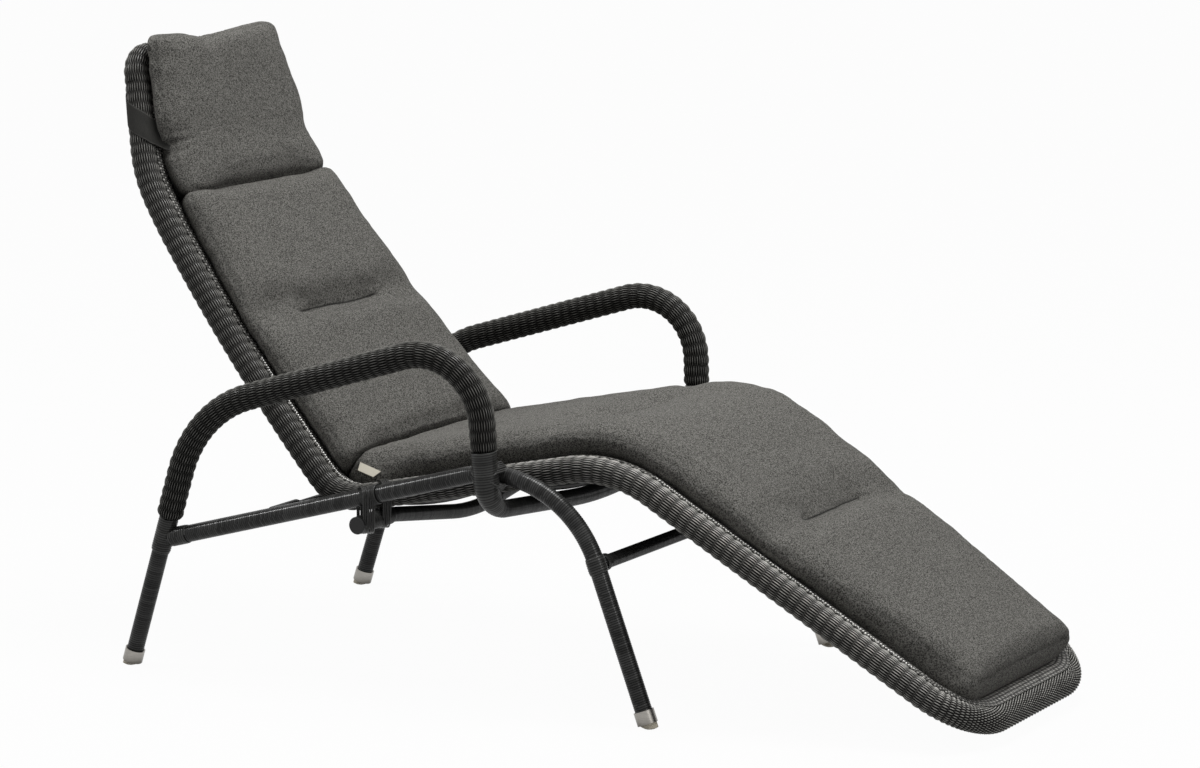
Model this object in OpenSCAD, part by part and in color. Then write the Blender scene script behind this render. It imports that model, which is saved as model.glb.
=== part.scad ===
// Woven chaise lounge: a one-piece woven shell that lies in a tubular armrest frame,
// lashed to a bowed cross tube, with a padded cushion in three sections.
// X runs across the chair, the foot end faces -Y, Z is up and the floor is Z = 0.

/* [Feet] */
// Distance between the rear feet
rear_feet_span = 660; // [620:5:700]
// Distance between the front feet
front_feet_span = 594; // [570:2:604]
// Distance from the rear feet to the front feet
feet_base = 887; // [860:1:920]
// Outer diameter of the metal foot sleeve
ferrule_d = 30.5; // [29:0.5:34]
// Length of the metal foot sleeve
ferrule_len = 20; // [14:1:30]
// Height of the sleeve's lower end above the floor, along the leg
ferrule_lift = 8; // [7:0.5:12]
// Diameter of the plastic glide under the sleeve
glide_d = 27; // [22:0.5:29]
// Radius of the glide's domed underside
glide_dome = 22; // [18:1:40]
// Length of the glide's stem inside the leg
glide_stem_len = 24; // [10:1:40]
// Diameter of the glide's stem
glide_stem_d = 16; // [10:0.5:18]

/* [Frame tube] */
// Outer diameter of the wound frame tube
tube_d = 26.5; // [25:0.5:28]
// Outer diameter of the two thin stretchers
thin_tube_d = 20.5; // [16:0.5:24]
// Gap between pieces that are seated on each other
seat_gap = 0.2; // [0.1:0.05:0.3]

/* [Arm hoop] */
// Lean of the rear legs from vertical
rear_leg_lean = 17.9; // [15:0.1:20]
// Sideways lean of the rear legs
rear_leg_splay = 0.6; // [0:0.1:1.5]
// Height at which the rear leg's line meets the armrest's line
arm_rear_z = 408; // [395:1:425]
// Distance from that corner to the front corner, along Y
arm_length = 492; // [480:1:510]
// Rise of the armrest towards the front
arm_rise = 16.9; // [14:0.1:20]
// Distance between the armrests at their front ends
arm_span = 680; // [670:2:700]
// Bend radius between rear leg and armrest
arm_rear_bend = 190; // [150:5:200]
// Bend radius between armrest and upright
arm_front_bend = 100; // [70:5:110]
// Forward lean of the upright
upright_lean = 3; // [1:0.5:5]
// Distance between the uprights at their lower ends
upright_span = 653; // [645:1:665]
// Height of the front cross bar at its ends
bar_z = 301; // [296:1:304]
// Dip of the front cross bar's middle
bar_dip = 29; // [22:1:34]
// Bend radius between upright and cross bar
bar_end_bend = 50; // [40:1:60]
// Bend radius in the middle of the cross bar
bar_mid_bend = 990; // [600:10:1200]

/* [Side rails] */
// Height of the rail's joint on the rear leg
rail_joint_z = 204; // [196:1:212]
// Rise of the rail towards the front
rail_rise = 15.2; // [14.5:0.1:16]
// Distance from the rail's rear joint to its front corner, along Y
rail_reach = 676; // [660:1:690]
// Bend radius between rail and front leg
rail_bend = 180; // [150:5:190]

/* [Cross members] */
// Distance of the seat cross tube in front of the rear feet
cross_reach = 418; // [410:1:426]
// Distance of the seat cross tube below the rail's centreline
cross_drop = 39.5; // [37:0.5:44]
// Diameter of the seat cross tube
cross_tube_d = 23; // [21:0.5:24]
// Distance between the ends of the seat cross tube
cross_tube_span = 672; // [664:2:690]
// Length of its straight ends
cross_end_len = 96; // [88:2:104]
// Dip of its bowed middle
cross_dip = 36; // [28:1:40]
// Bend radius at the ends of the bow
cross_end_bend = 120; // [80:5:150]
// Bend radius in the middle of the bow
cross_mid_bend = 450; // [300:10:600]
// Outer diameter of the winding on the straight ends
cross_wrap_d = 26.5; // [25:0.5:28]
// Thickness of the black end caps
cap_len = 4; // [2:0.5:6]
// Distance of the rear stretcher in front of the rear feet
rear_stretcher_reach = 250; // [242:1:256]
// Height of the front stretcher on the front legs
front_stretcher_z = 232; // [180:1:236]
// Length of the wound ends of the rear stretcher
stretcher_wrap_len = 66; // [50:2:72]
// Diameter of the wound ends of the rear stretcher
stretcher_wrap_d = 27; // [25:0.5:29]

/* [Windings] */
// Diameter of the woven armrest sleeves
weave_d = 41; // [38:0.5:44]
// Height at which the woven sleeve starts on the rear leg
weave_rear_z = 240; // [236:1:255]
// Height at which the woven sleeve ends on the upright
weave_front_z = 390; // [388:1:400]
// Diameter of the smooth winding under the weave
upright_wrap_d = 34; // [31:0.5:36]
// Length of the smooth winding under the weave
upright_wrap_len = 38; // [30:1:40]
// Thickness of the smooth joint windings
wrap_t = 1.6; // [1.2:0.1:2.5]
// Thickness of one lashing strand
strand_t = 2.2; // [1.6:0.1:2.6]
// Width of one lashing strand
strand_w = 3.6; // [2.5:0.1:4]

/* [Shell profile] */
// Length of the straight head part
head_len = 132; // [110:2:150]
// Angle of the head part from horizontal
head_angle = 75; // [72:1:80]
// Bend radius between head and back
head_bend = 263; // [200:5:300]
// Angle of the back at its upper end
back_top_angle = 55; // [53:0.5:58]
// Angle of the back at its lower end
back_low_angle = 46; // [45:0.5:50]
// Length of the back
back_len = 515; // [490:1:540]
// Bend radius between back and seat
seat_bend = 80; // [72:2:90]
// Upward slope of the seat towards the knee
seat_angle = 11.6; // [10:0.1:13]
// Length of seat behind the cross tube
seat_rear_len = 36; // [32:1:42]
// Length of seat in front of the cross tube
seat_front_len = 315; // [300:1:322]
// Bend radius of the knee
knee_bend = 194; // [170:2:220]
// Downward slope of the leg part
leg_angle = 31.6; // [30:0.1:31.8]
// Length of the leg part
leg_len = 572; // [540:2:578]

/* [Shell plan] */
// Width of the shell at its top end, between the rim's centrelines
top_width = 320; // [300:2:340]
// Width at the upper end of the back
shoulder_width = 438; // [420:2:450]
// Width at the seat
seat_width = 536; // [520:2:540]
// Width at the knee
knee_width = 502; // [490:2:520]
// Width at the foot end
foot_width = 416; // [390:2:430]
// Corner radius at the top end
top_corner = 38; // [34:1:60]
// Corner radius at the foot end
foot_corner = 100; // [70:2:120]

/* [Shell build] */
// Diameter of the woven rim
rim_d = 41; // [38:0.5:42]
// Diameter of the metal tube inside the rim
rim_tube_d = 22; // [16:0.5:25]
// Thickness of the woven panel
panel_t = 4; // [3:0.5:5]
// Height of the rim's centreline above the panel's edge
panel_edge = 4; // [2:0.5:6]
// Depth of the panel's dip in the back
back_dip = 18; // [12:1:22]
// Depth of the panel's dip in the leg part
leg_dip = 20; // [12:1:26]
// Diameter of the cross ribs under the panel
rib_d = 10; // [8:0.5:12]

/* [Cushion] */
// Height of the cushion's upper seam above the rim's centreline
cushion_height = 55; // [50:1:60]
// Extra height of the cushion's crown
crown = 6; // [2:0.5:8]
// Distance of the cushion's sides from the rim's centreline
cushion_inset = 33; // [30:0.5:36]
// Width of the headrest at its top
headrest_top_width = 304; // [290:2:320]
// Width of the headrest
headrest_width = 354; // [340:2:360]
// Length of the headrest below the rim's top end
headrest_len = 236; // [228:2:240]
// Overhang of the headrest past the rim's top end
headrest_over = 27; // [23:1:30]
// Depth of the hollow between the headrest's two top corners
ear_depth = 9; // [0:1:12]
// Distance of the crease between back and seat cushion above the middle of the bend
crease_rise = 25; // [0:1:28]
// Gap between neighbouring cushion sections
section_gap = 0.6; // [0.4:0.1:1]
// Gap between cushion and woven panel
cushion_gap = 1; // [0.8:0.1:1.2]
// Depth of the sewn tufts
tuft_depth = 14; // [8:1:18]
// Length of the back section's tuft
back_tuft_len = 220; // [180:2:240]
// Length of the seat section's tufts
seat_tuft_len = 190; // [160:2:220]
// Width of the headrest strap
strap_w = 64; // [50:1:70]
// Thickness of the headrest strap
strap_t = 2; // [1.5:0.1:3]
// Length of the blank label
label_len = 38; // [24:1:44]
// Width of the blank label
label_w = 14; // [8:1:18]

/* [Hidden] */
$fn = 64;
tube_steps = 64;
bend_steps = 360;
tube_r = tube_d / 2;
rim_r = rim_d / 2;
rib_r = rib_d / 2;

// Small vector tools
function unit(v) = v / norm(v);
function turn(a, b, c) = acos(unit(b - a) * unit(c - b));
function flip(p) = [-p.x, p.y, p.z];
function mix(a, b, t) = a + (b - a) * t;
function clamp(t) = min(1, max(0, t));
function total(list) = [for (i = list) 1] * list;
function turned(list) = [for (i = [len(list) - 1:-1:0]) list[i]];

// Shell profile: runs of [length, first angle, last angle], from the head down to the foot end
function arc_len(radius, from, to) = radius * abs(from - to) * PI / 180;
runs = [
    [head_len, head_angle, head_angle],
    [arc_len(head_bend, head_angle, back_top_angle), head_angle, back_top_angle],
    [back_len, back_top_angle, back_low_angle],
    [arc_len(seat_bend, back_low_angle, -seat_angle), back_low_angle, -seat_angle],
    [seat_rear_len + seat_front_len, -seat_angle, -seat_angle],
    [arc_len(knee_bend, -seat_angle, leg_angle), -seat_angle, leg_angle],
    [leg_len, leg_angle, leg_angle]
];
last_run = len(runs) - 1;
function run_start(i) = i == 0 ? 0 : run_start(i - 1) + runs[i - 1][0];
shell_len = run_start(last_run) + leg_len;
back_start = run_start(2);
bend_start = run_start(3);
seat_start = run_start(4);
knee_start = run_start(5);
leg_start = run_start(last_run);
rest_station = seat_start + seat_rear_len;
bend_middle = mix(bend_start, seat_start, 0.5);
crease_station = bend_middle - crease_rise;

// Step in [y, z] along a run of even curvature, and the profile's point and angle at a station
function run_step(length, a, b) = a == b
    ? -length * [cos(a), sin(a)]
    : -length / ((b - a) * PI / 180) * [sin(b) - sin(a), cos(a) - cos(b)];
function run_part(i, s) = i == 0 ? min(s, head_len) : min(max(s - run_start(i), 0), runs[i][0]);
function chain(s, i = 0) =
    let (
        part = run_part(i, s),
        run = runs[i],
        step = run_step(part, run[1], mix(run[1], run[2], part / run[0]))
    )
    i == last_run ? step : step + chain(s, i + 1);
angle_knots = [for (i = [0:last_run]) each [
    [run_start(i), runs[i][1]],
    [run_start(i) + runs[i][0], runs[i][2]]]];
function profile_angle(s) = lookup(s, angle_knots);

// Heights of the frame where the shell lies on it, before the origin is centred
rear_leg_slope = tan(rear_leg_lean);
rail_joint_y = -rear_leg_slope * rail_joint_z;
function rail_z(y) = rail_joint_z + (rail_joint_y - y) * tan(rail_rise);
cross_y = -cross_reach;
cross_z = rail_z(cross_y) - cross_drop;
cross_tube_end = cross_tube_span / 2;
cross_corner_x = cross_tube_end - cross_end_len;
front_corner_y = -rear_leg_slope * arm_rear_z - arm_length;
front_corner_z = arm_rear_z + arm_length * tan(arm_rise);
bar_y = front_corner_y - tan(upright_lean) * (front_corner_z - bar_z);
bar_half = upright_span / 2;

// Place of the profile: its rim rests on the wound ends of the seat cross tube
rim_rest_z = cross_z + (cross_wrap_d / 2 + rim_r + seat_gap) / cos(seat_angle);
profile_shift = [cross_y, rim_rest_z] - chain(rest_station);
back_most = (chain(0) + profile_shift)[0] + rim_r;
foot_most = (chain(shell_len) + profile_shift)[0] - rim_r;
centre_y = -(back_most + foot_most) / 2;
function at(p) = [p.x, p.y + centre_y, p.z];

// Point of the shell: x across, s along the profile, n out of its upper face
function shell_point(x, s, n = 0) =
    let (p = chain(s) + profile_shift, a = profile_angle(s))
    at([x, p[0] - sin(a) * n, p[1] + cos(a) * n]);
module on_shell(s) {
    translate(shell_point(0, s)) rotate([profile_angle(s), 0, 0]) children();
}

// Half width of the rim's centreline, eased where the taper changes
width_knots = [
    [0, top_width / 2],
    [back_start, shoulder_width / 2],
    [bend_middle, seat_width / 2],
    [leg_start, knee_width / 2],
    [shell_len, foot_width / 2]
];
ease_span = 60;
function half_width(s) =
    let (span = max(0, min(ease_span, s, shell_len - s)))
    total([for (k = [-2:2]) lookup(s + k * span / 2, width_knots)]) / 5;

// The panel dips between its edges in a round arc, so that the ribs under it are arcs too.
// Where a rib lies on a bowed bar, the dip is the one at which it touches both of the bar's slopes.
edge_in = rim_r + seat_gap;
function dip_on_bar(rim_z, w, bar_low, slope, bar_r) =
    let (
        k = 1 / cos(slope),
        drop = (rim_z - bar_low) * cos(seat_angle),
        room = drop - panel_edge - k * (bar_r + 2 * seat_gap + panel_t / 2 + rib_d),
        a = (1 + k) / 2,
        c = (k - 1) * w * w / 2
    )
    (room + sqrt(room * room - 4 * a * c)) / (2 * a);
cross_slope = atan2(cross_dip, cross_corner_x);
bar_slope = atan2(bar_dip, bar_half);
bar_station = rest_station + (cross_y - bar_y) / cos(seat_angle);
rim_bar_z = rim_rest_z + (cross_y - bar_y) * tan(seat_angle);
cross_low = cross_z - cross_dip;
bar_low = bar_z - bar_dip;
cross_rib = rest_station - (rim_rest_z - cross_low - cross_dip * 0.6) * sin(seat_angle);
bar_rib = bar_station - (rim_bar_z - bar_low - bar_dip * 0.25) * sin(seat_angle);
end_dip = 2;
dip_knots = [
    [0, end_dip],
    [back_start, back_dip / 2],
    [mix(back_start, bend_start, 0.5), back_dip],
    [bend_start, back_dip * 1.2],
    [cross_rib, dip_on_bar(
        rim_rest_z, half_width(cross_rib) - edge_in, cross_low, cross_slope, cross_tube_d / 2)],
    [bar_rib, dip_on_bar(rim_bar_z, half_width(bar_rib) - edge_in, bar_low, bar_slope, tube_r)],
    [leg_start, leg_dip],
    [shell_len - foot_corner, leg_dip / 2],
    [shell_len, end_dip]
];
function panel_dip(s) = lookup(s, dip_knots);
function arc_radius(w, dip) = (w * w + dip * dip) / (2 * dip);
function panel_n(x, s) =
    let (w = half_width(s) - edge_in, dip = panel_dip(s), r = arc_radius(w, dip), u = min(abs(x), w))
    r - dip - panel_edge - sqrt(r * r - u * u);

// Stations along the shell: few on straight runs, more in the bends
run_cells = [2, 4, 8, 6, 5, 6, 8];
stations = [for (i = [0:last_run], k = [0:run_cells[i] - 1]) run_start(i) + runs[i][0] * k / run_cells[i]];

// Closed path of the rim in the plane of the shell, as [x, s]
corner_steps = 4;
corner_room = 8;
foot_corner_s = shell_len - foot_corner;
top_x = half_width(top_corner) - top_corner;
foot_x = half_width(foot_corner_s) - foot_corner;
side_stations = [for (s = stations) if (s > top_corner + corner_room && s < foot_corner_s - corner_room) s];
function corner(x, s, radius, from) = [for (k = [0:corner_steps])
    let (a = from + 90 * k / corner_steps)
    [x + radius * cos(a), s + radius * sin(a)]];
rim_path = concat(
    [for (s = side_stations) [half_width(s), s]],
    corner(foot_x, foot_corner_s, foot_corner, 0),
    [[0, shell_len]],
    corner(-foot_x, foot_corner_s, foot_corner, 90),
    [for (s = turned(side_stations)) [-half_width(s), s]],
    corner(-top_x, top_corner, top_corner, 180),
    [[0, 0]],
    corner(top_x, top_corner, top_corner, 270)
);

// Distance in the plane of the shell from a point to the rim's centreline
function rim_distance(x, s) =
    let (u = abs(x))
    u > foot_x && s > foot_corner_s ? abs(foot_corner - norm([u - foot_x, s - foot_corner_s]))
    : u > top_x && s < top_corner ? abs(top_corner - norm([u - top_x, s - top_corner]))
    : min(abs(half_width(s) - u), abs(s), abs(shell_len - s));

// Walls of a body made of rings with k points each
function quad(a, b, c, d) = [[a, b, c], [a, c, d]];
function walls(strips, k, ring_count) = [for (i = [0:strips - 1], j = [0:k - 1])
    let (here = i * k, next = ((i + 1) % ring_count) * k, j2 = (j + 1) % k)
    each quad(here + j, here + j2, next + j2, next + j)];

// One ring of a section round the rim's path; a section is a list of [angle, radius]
function rim_ring(i, section) =
    let (
        m = len(rim_path),
        p = rim_path[i],
        before = rim_path[(i + m - 1) % m],
        after = rim_path[(i + 1) % m],
        centre = shell_point(p.x, p.y),
        along = unit(shell_point(after.x, after.y) - shell_point(before.x, before.y)),
        up = unit(shell_point(p.x, p.y, 1) - centre),
        side = unit(cross(along, up))
    )
    [for (q = section) centre + (side * cos(q[0]) + up * sin(q[0])) * q[1]];
module rim_sweep(section) {
    m = len(rim_path);
    points = [for (i = [0:m - 1]) each rim_ring(i, section)];
    polyhedron(points, walls(m, len(section), m), convexity = 6);
}

// Padded body through rings, each end closed by a fan round its middle
module padded_loft(rings) {
    m = len(rings);
    k = len(rings[0]);
    base = (m - 1) * k;
    middle_a = m * k;
    middle_b = middle_a + 1;
    fan_a = [for (j = [0:k - 1]) [middle_a, (j + 1) % k, j]];
    fan_b = [for (j = [0:k - 1]) [middle_b, base + j, base + (j + 1) % k]];
    points = concat([for (r = rings) each r], [total(rings[0]) / k, total(rings[m - 1]) / k]);
    polyhedron(points, concat(walls(m - 1, k, m), fan_a, fan_b), convexity = 6);
}

// Thin sheet through rows of an upper and a lower face, each end closed by a strip
module sheet_loft(upper, lower) {
    m = len(upper);
    n = len(upper[0]) - 1;
    k = 2 * n + 2;
    base = (m - 1) * k;
    strip_a = [for (j = [0:n - 1]) each quad(j + 1, j, k - 1 - j, k - 2 - j)];
    strip_b = [for (j = [0:n - 1]) each quad(base + j, base + j + 1, base + k - 2 - j, base + k - 1 - j)];
    points = [for (i = [0:m - 1]) each concat(upper[i], turned(lower[i]))];
    polyhedron(points, concat(walls(m - 1, k, m), strip_a, strip_b), convexity = 6);
}

// Turns +Z to a direction
module point_along(dir) {
    rotate([0, acos(dir.z), atan2(dir.y, dir.x)]) children();
}

module annulus(r_out, r_in) {
    difference() {
        circle(r_out, $fn = tube_steps);
        if (r_in > 0) circle(r_in, $fn = tube_steps);
    }
}

module rod(a, b, r_out, r_in = 0) {
    translate(a) point_along(unit(b - a)) linear_extrude(norm(b - a)) annulus(r_out, r_in);
}

// Round bend of a tube at corner b, coming from a and going to c
module elbow(a, b, c, bend, r_out, r_in = 0) {
    into = unit(b - a);
    axis = unit(cross(into, unit(c - b)));
    out = cross(into, axis);
    angle = turn(a, b, c);
    centre = b - into * bend * tan(angle / 2) - out * bend;
    multmatrix([
        [out.x, into.x, axis.x, centre.x],
        [out.y, into.y, axis.y, centre.y],
        [out.z, into.z, axis.z, centre.z]
    ])
        rotate_extrude(angle = angle, $fn = bend_steps) translate([bend, 0]) annulus(r_out, r_in);
}

// Tube through corner points, bent round at each of them. The straights run a little way into
// the bends, whose wall is a hair thicker, so that each joint is a clean step.
joint_lap = 0.8;
joint_step = 0.05;
module bent_tube(points, bends, r_out, r_in = 0) {
    last = len(points) - 1;
    cut = [for (i = [0:last]) i == 0 || i == last
        ? 0
        : bends[i] * tan(turn(points[i - 1], points[i], points[i + 1]) / 2) - joint_lap];
    for (i = [0:last - 1]) {
        dir = unit(points[i + 1] - points[i]);
        rod(points[i] + dir * cut[i], points[i + 1] - dir * cut[i + 1], r_out, r_in);
    }
    for (i = [1:last - 1])
        elbow(points[i - 1], points[i], points[i + 1], bends[i],
            r_out + joint_step, max(0, r_in - joint_step));
}

module both_sides() {
    children();
    mirror([1, 0, 0]) children();
}

// Corner points of the arm hoop, on the +X side
function rear_leg_point(z) = at([rear_feet_span / 2 + tan(rear_leg_splay) * z, -rear_leg_slope * z, z]);
rear_foot = rear_leg_point(0);
arm_rear_corner = rear_leg_point(arm_rear_z);
arm_front_corner = at([arm_span / 2, front_corner_y, front_corner_z]);
bar_corner = at([bar_half, bar_y, bar_z]);
bar_middle = at([0, bar_y, bar_low]);
function upright_point(z) = mix(bar_corner, arm_front_corner, (z - bar_z) / (front_corner_z - bar_z));

// The rail passes inside the upright, close against it, where its bend has already begun
rail_corner_y = rail_joint_y - rail_reach;
rail_turn = rail_rise + atan2(rail_z(rail_corner_y), feet_base + rail_corner_y);
rail_bend_y = rail_corner_y + rail_bend * tan(rail_turn / 2) * cos(rail_rise);
past_bend = max(0, (rail_bend_y - bar_y) / cos(rail_rise));
crossing_sag = rail_bend - sqrt(rail_bend * rail_bend - past_bend * past_bend);
crossing_angle = rail_rise - asin(past_bend / rail_bend);
crossing_z = rail_z(bar_y) - crossing_sag * cos(rail_rise);
crossing_x = upright_point(crossing_z).x - tube_d - 2 * seat_gap;

// Corner points of the rail and the front leg, on the +X side
rail_start = rear_leg_point(rail_joint_z);
rail_inward = (rail_start.x - crossing_x) / (rail_joint_y - bar_y);
rail_corner = rail_start + rail_reach * [-rail_inward, -1, tan(rail_rise)];
front_foot = at([front_feet_span / 2, -feet_base, 0]);
function rail_point(y) = mix(rail_start, rail_corner, (rail_joint_y - y) / rail_reach);
function front_leg_point(z) = mix(front_foot, rail_corner, z / rail_corner.z);

// The leg tubes end level with the lower edge of their metal sleeves
function leg_tip(foot, top) = foot + unit(top - foot) * ferrule_lift;
module stem_bore(foot, top) {
    depth = ferrule_lift + glide_stem_len + seat_gap;
    rod(foot, foot + unit(top - foot) * depth, glide_stem_d / 2 + seat_gap);
}

module arm_frame_tube() color("#3a3b3a") {
    half_path = [leg_tip(rear_foot, arm_rear_corner), arm_rear_corner, arm_front_corner, bar_corner];
    half_bends = [0, arm_rear_bend, arm_front_bend, bar_end_bend];
    path = concat(half_path, [bar_middle], [for (p = turned(half_path)) flip(p)]);
    difference() {
        bent_tube(path, concat(half_bends, [bar_mid_bend], turned(half_bends)), tube_r);
        both_sides() stem_bore(rear_foot, arm_rear_corner);
    }
}

module rail_tube(r) {
    bent_tube([rail_start, rail_corner, leg_tip(front_foot, rail_corner)], [0, rail_bend, 0], r);
}
rail_cope = 60;
module side_rail() {
    difference() {
        rail_tube(tube_r);
        rod(rear_leg_point(rail_joint_z - rail_cope), rear_leg_point(rail_joint_z + rail_cope),
            tube_r + seat_gap);
        stem_bore(front_foot, rail_corner);
    }
}
module left_side_rail() color("#3a3b3a") mirror([1, 0, 0]) side_rail();
module right_side_rail() color("#3a3b3a") side_rail();

// Straight tube from side to side, cut to the round wall that each end meets
module stretcher(end, wall_from, wall_to, wall_r) {
    difference() {
        rod(end, flip(end), thin_tube_d / 2);
        both_sides() rod(wall_from, wall_to, wall_r + seat_gap);
    }
}
wall_reach = 40;
rear_end = rail_point(-rear_stretcher_reach);
front_end = front_leg_point(front_stretcher_z);
front_leg_up = unit(rail_corner - front_foot);
rail_dir = unit(rail_corner - rail_start);
module rear_stretcher() color("#3a3b3a")
    stretcher(rear_end, rear_end - rail_dir * wall_reach, rear_end + rail_dir * wall_reach, tube_r);
module front_stretcher() color("#3a3b3a")
    stretcher(front_end, front_end - front_leg_up * wall_reach, front_end + front_leg_up * wall_reach,
        tube_r + wrap_t);

// Wound ends of the rear stretcher; the rail's slant across the chair sets their clearance
slant_clearance = stretcher_wrap_d / 2 * rail_inward + seat_gap;
module rear_stretcher_wraps() color("#3f403f") both_sides() {
    outer = rear_end - [tube_r + slant_clearance, 0, 0];
    rod(outer, outer - [stretcher_wrap_len, 0, 0], stretcher_wrap_d / 2, thin_tube_d / 2 + seat_gap);
}

// Wound joints of the front stretcher: a band round the leg and a collar on the stretcher
leg_band_half = 13;
collar_len = 12;
collar_t = 1.8;
module front_stretcher_wraps() color("#3f403f") both_sides() {
    rod(front_end - front_leg_up * leg_band_half, front_end + front_leg_up * leg_band_half,
        tube_r + wrap_t, tube_r + seat_gap);
    difference() {
        rod(front_end - [tube_r + wrap_t + collar_len, 0, 0], front_end,
            thin_tube_d / 2 + collar_t, thin_tube_d / 2 + seat_gap);
        rod(front_end - front_leg_up * wall_reach, front_end + front_leg_up * wall_reach,
            tube_r + wrap_t + seat_gap);
    }
}

// Bowed tube under the seat, with a blind bore for the cap's stem at each end
function cross_point(x, drop = 0) = at([x, cross_y, cross_z - drop]);
cap_stem_d = 14;
cap_stem_len = 12;
cap_edge = 1;
module seat_cross_tube() color("#3a3b3a") {
    half_path = [cross_point(cross_tube_end), cross_point(cross_corner_x)];
    path = concat(half_path, [cross_point(0, cross_dip)], [for (p = turned(half_path)) flip(p)]);
    difference() {
        bent_tube(path, [0, cross_end_bend, cross_mid_bend, cross_end_bend, 0], cross_tube_d / 2);
        both_sides() rod(
            cross_point(cross_tube_end - cap_stem_len - seat_gap),
            cross_point(cross_tube_end + cap_edge),
            cap_stem_d / 2 + seat_gap);
    }
}
module cross_tube_caps() color("#1d1d1d") both_sides() {
    head_r = cross_wrap_d / 2;
    translate(cross_point(cross_tube_end + seat_gap)) rotate([0, 90, 0]) rotate_extrude() polygon([
        [0, -cap_stem_len],
        [cap_stem_d / 2, -cap_stem_len],
        [cap_stem_d / 2, 0],
        [head_r, 0],
        [head_r, cap_len - cap_edge],
        [head_r - cap_edge, cap_len],
        [0, cap_len]
    ]);
}

// Strand loop round two crossing bars, in the slanting plane between them. Local X joins the bars'
// centres, at 0 and at -apart; the plane stretches each bar's round to an oval, and slope tilts
// the second oval as its bar climbs.
loop_points = 36;
function loop_oval(apart, r_a, r_b, extra, stretch, slope) = [for (k = [0:loop_points - 1])
    let (
        a = 360 * k / loop_points,
        first = cos(a) >= 0,
        r = (first ? r_a : r_b) + extra,
        centre = first ? 0 : slope * r * sin(a) - apart
    )
    [centre + r * cos(a), r * stretch * sin(a)]];
module strand_loop(apart, r_a, r_b, stretch, slope = 0) {
    translate([0, 0, -strand_w / 2]) linear_extrude(strand_w) difference() {
        polygon(loop_oval(apart, r_a, r_b, strand_t, stretch, slope));
        polygon(loop_oval(apart, r_a, r_b, 0, stretch, slope));
    }
}
strand_pitch = strand_w + 0.6;
function turn_offset(k, turns) = (k - (turns - 1) / 2) * strand_pitch;

// Turns that tie the cross tube to a bar above it, which climbs towards the front
module cross_tie(x, turns, apart, r_above, climb) {
    translate(cross_point(x)) rotate([0, 0, 45])
        for (k = [0:turns - 1]) translate([turn_offset(k, turns), 0, 0]) rotate([0, 90, 0])
            strand_loop(apart, cross_wrap_d / 2 + seat_gap, r_above, sqrt(2), tan(climb));
}

// Windings of the cross tube: ridged sleeves on its ends, and turns that tie it to the rails
rail_turns = 3;
ridge = 0.7;
ridge_count = 4;
ridge_len = 4;
cross_wrap_in = cross_corner_x + 8;
module cross_wrap_round() {
    rod(cross_point(cross_wrap_in), cross_point(cross_tube_end), cross_wrap_d / 2 + seat_gap);
}
module cross_tube_lashings() color("#454644") both_sides() {
    full_r = cross_wrap_d / 2;
    bore_r = cross_tube_d / 2 + seat_gap;
    sleeve_len = cross_tube_end - cross_wrap_in;
    translate(cross_point(cross_wrap_in)) rotate([0, 90, 0]) rotate_extrude() polygon(concat(
        [[bore_r, sleeve_len], [bore_r, 0], [full_r, 0]],
        [for (k = [ridge_count:-1:1]) each [
            [full_r, sleeve_len - k * ridge_len],
            [full_r - ridge, sleeve_len - (k - 0.5) * ridge_len]]],
        [[full_r, sleeve_len]]
    ));
    difference() {
        cross_tie(rail_point(cross_y).x, rail_turns, cross_drop, tube_r + seat_gap, rail_rise);
        rod(rail_start, rail_corner, tube_r + seat_gap);
        cross_wrap_round();
    }
}

module arm_weave() {
    bent_tube(
        [rear_leg_point(weave_rear_z), arm_rear_corner, arm_front_corner, upright_point(weave_front_z)],
        [0, arm_rear_bend, arm_front_bend, 0], weave_d / 2, tube_r + seat_gap);
}
module left_arm_weave() color("#454644") mirror([1, 0, 0]) arm_weave();
module right_arm_weave() color("#454644") arm_weave();

// Wound joint where the rail meets the rear leg: a band on the leg and a collar on the rail
leg_wrap_low = 20;
rail_collar_t = 1.2;
rail_collar_end = 46;
module rear_leg_wraps() color("#3f403f") both_sides() {
    collar_tip = rail_start + rail_dir * rail_collar_end;
    difference() {
        rod(rear_leg_point(rail_joint_z - leg_wrap_low), rear_leg_point(weave_rear_z - seat_gap),
            tube_r + wrap_t, tube_r + seat_gap);
        rod(rail_start, collar_tip, tube_r + 2 * seat_gap);
    }
    difference() {
        rod(rail_start + rail_dir * tube_r, collar_tip, tube_r + rail_collar_t, tube_r + seat_gap);
        rod(rear_foot, arm_rear_corner, tube_r + wrap_t + seat_gap);
    }
}

// Smooth winding on the upright, notched where the rail lies against the tube
wrap_taper = 8;
module upright_wraps() color("#3f403f") both_sides() difference() {
    translate(upright_point(weave_front_z - seat_gap)) point_along(unit(bar_corner - arm_front_corner))
        rotate_extrude() polygon([
            [tube_r + seat_gap, 0],
            [upright_wrap_d / 2, 0],
            [upright_wrap_d / 2, upright_wrap_len - wrap_taper],
            [tube_r + wrap_t, upright_wrap_len],
            [tube_r + seat_gap, upright_wrap_len]
        ]);
    rail_tube(tube_r + seat_gap);
}

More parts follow.
